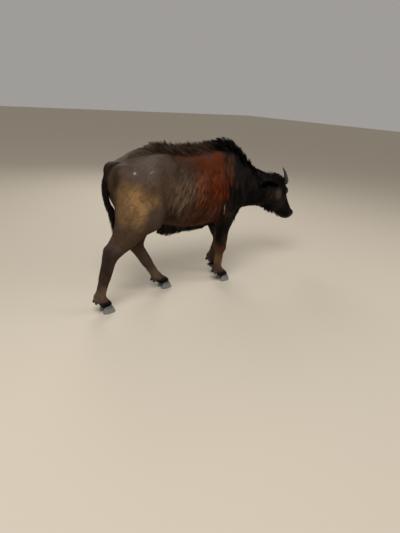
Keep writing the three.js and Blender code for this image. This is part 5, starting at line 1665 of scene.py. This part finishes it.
# %% Ear hair
for name, shape in EARS.items():
    base, tip, forward, inward, across = ear_frame(shape)
    count = max(int(2600 * share_kept), 40)
    at = rng.uniform(-0.02, 1.0, count)
    beside = rng.uniform(-1, 1, count)
    lower = across if across[2] < 0 else -across
    roots = base + forward * (at * np.linalg.norm(tip - base))[:, None]
    roots = roots + lower * (beside * ear_width(at) * 0.97)[:, None]
    roots = roots - inward * (EAR_BACK * at**2 + 12 - 16 * beside**2)[:, None]
    out = unit(-inward + lower * (beside * 0.8)[:, None])
    edge = ramp(beside, 0.2, 0.95)
    way = forward * 0.9 + lower * (0.15 + 1.1 * edge)[:, None] + out * 0.25
    way = unit(way + rng.normal(0, 0.12, (count, 3)))
    length = 24 + 46 * edge * np.interp(at, [0, 0.3, 0.8, 1], [0.7, 1, 0.8, 0.5])
    length = length * rng.uniform(0.7, 1.2, count)
    free_hair("ear_hair_" + name, roots, way, out, length, 0.45, (2, 3.8), sunk=2)

# %% [markdown]
# The camera stands at the photo's viewing angle: behind the animal's right side, a little above
# its back, and looking down. A 27 mm lens over a picture 36 mm high gives the photo's wide view.

# %% Camera
CAMERA_PLACE = np.array([-1650.0, -2412.0, 1450.0])
LOOK_RIGHT = (0.7837, -0.6179, 0.0640)
LOOK_UP = (0.1950, 0.3425, 0.9191)
LENS_MM = 27.0
PICTURE_MM = 36.0

camera_data = bpy.data.cameras.new("camera")
camera_data.lens = LENS_MM
camera_data.sensor_width = PICTURE_MM
camera_data.dof.use_dof = False
camera = bpy.data.objects.new("camera", camera_data)
right, up = Vector(LOOK_RIGHT), Vector(LOOK_UP)
back = right.cross(up)
turn_camera = Matrix((right, up, back)).transposed().to_4x4()
camera.matrix_world = Matrix.Translation(Vector(CAMERA_PLACE * MM + OFFSET)) @ turn_camera
bpy.context.scene.collection.objects.link(camera)
bpy.context.scene.camera = camera
bpy.context.scene.view_settings.view_transform = "Standard"
print("camera at", [round(c, 3) for c in camera.matrix_world.translation], "m")

# %% [markdown]
# A plain pale floor and soft light: one large lamp high behind the animal, a weaker one ahead of
# it, a third on its far side that lifts its back off the floor, and an even sky.

# %% Floor and light
FLOOR_HALF = 30
SKY_STRENGTH = 0.42
LAMPS_AIM = Vector((0.1, 0, 0.7))

floor_mesh = bpy.data.meshes.new("floor")
corners = [(i * FLOOR_HALF, j * FLOOR_HALF, 0) for i, j in ((-1, -1), (1, -1), (1, 1), (-1, 1))]
floor_mesh.from_pydata(corners, [], [(0, 1, 2, 3)])
floor = bpy.data.objects.new("floor", floor_mesh)
floor_stuff, tree = new_material("pale floor")
shader = add(tree, "BsdfPrincipled", {}, {"Base Color": linear("#cfc4b2"), "Roughness": 0.9})
add(tree, "OutputMaterial", {}, {"Surface": shader.outputs["BSDF"]})
floor_mesh.materials.append(floor_stuff)
bpy.context.scene.collection.objects.link(floor)

world = bpy.data.worlds.new("soft sky")
world.use_nodes = True
sky = world.node_tree.nodes["Background"]
sky.inputs["Color"].default_value = linear("#ebe7e2")
sky.inputs["Strength"].default_value = SKY_STRENGTH
bpy.context.scene.world = world


def lamp(name, place, size, watts):
    data = bpy.data.lights.new(name, "AREA")
    data.shape = "DISK"
    data.size = size
    data.energy = watts
    light = bpy.data.objects.new(name, data)
    light.location = place
    light.rotation_euler = (LAMPS_AIM - Vector(place)).to_track_quat("-Z", "Y").to_euler()
    bpy.context.scene.collection.objects.link(light)
    print("lamp:", name, watts, "W")


lamp("key", (-2.4, -2.0, 4.2), 2.4, 150)
lamp("fill", (3.4, -3.0, 2.6), 3.0, 45)
lamp("rim", (1.5, 3.6, 3.2), 2.4, 60)
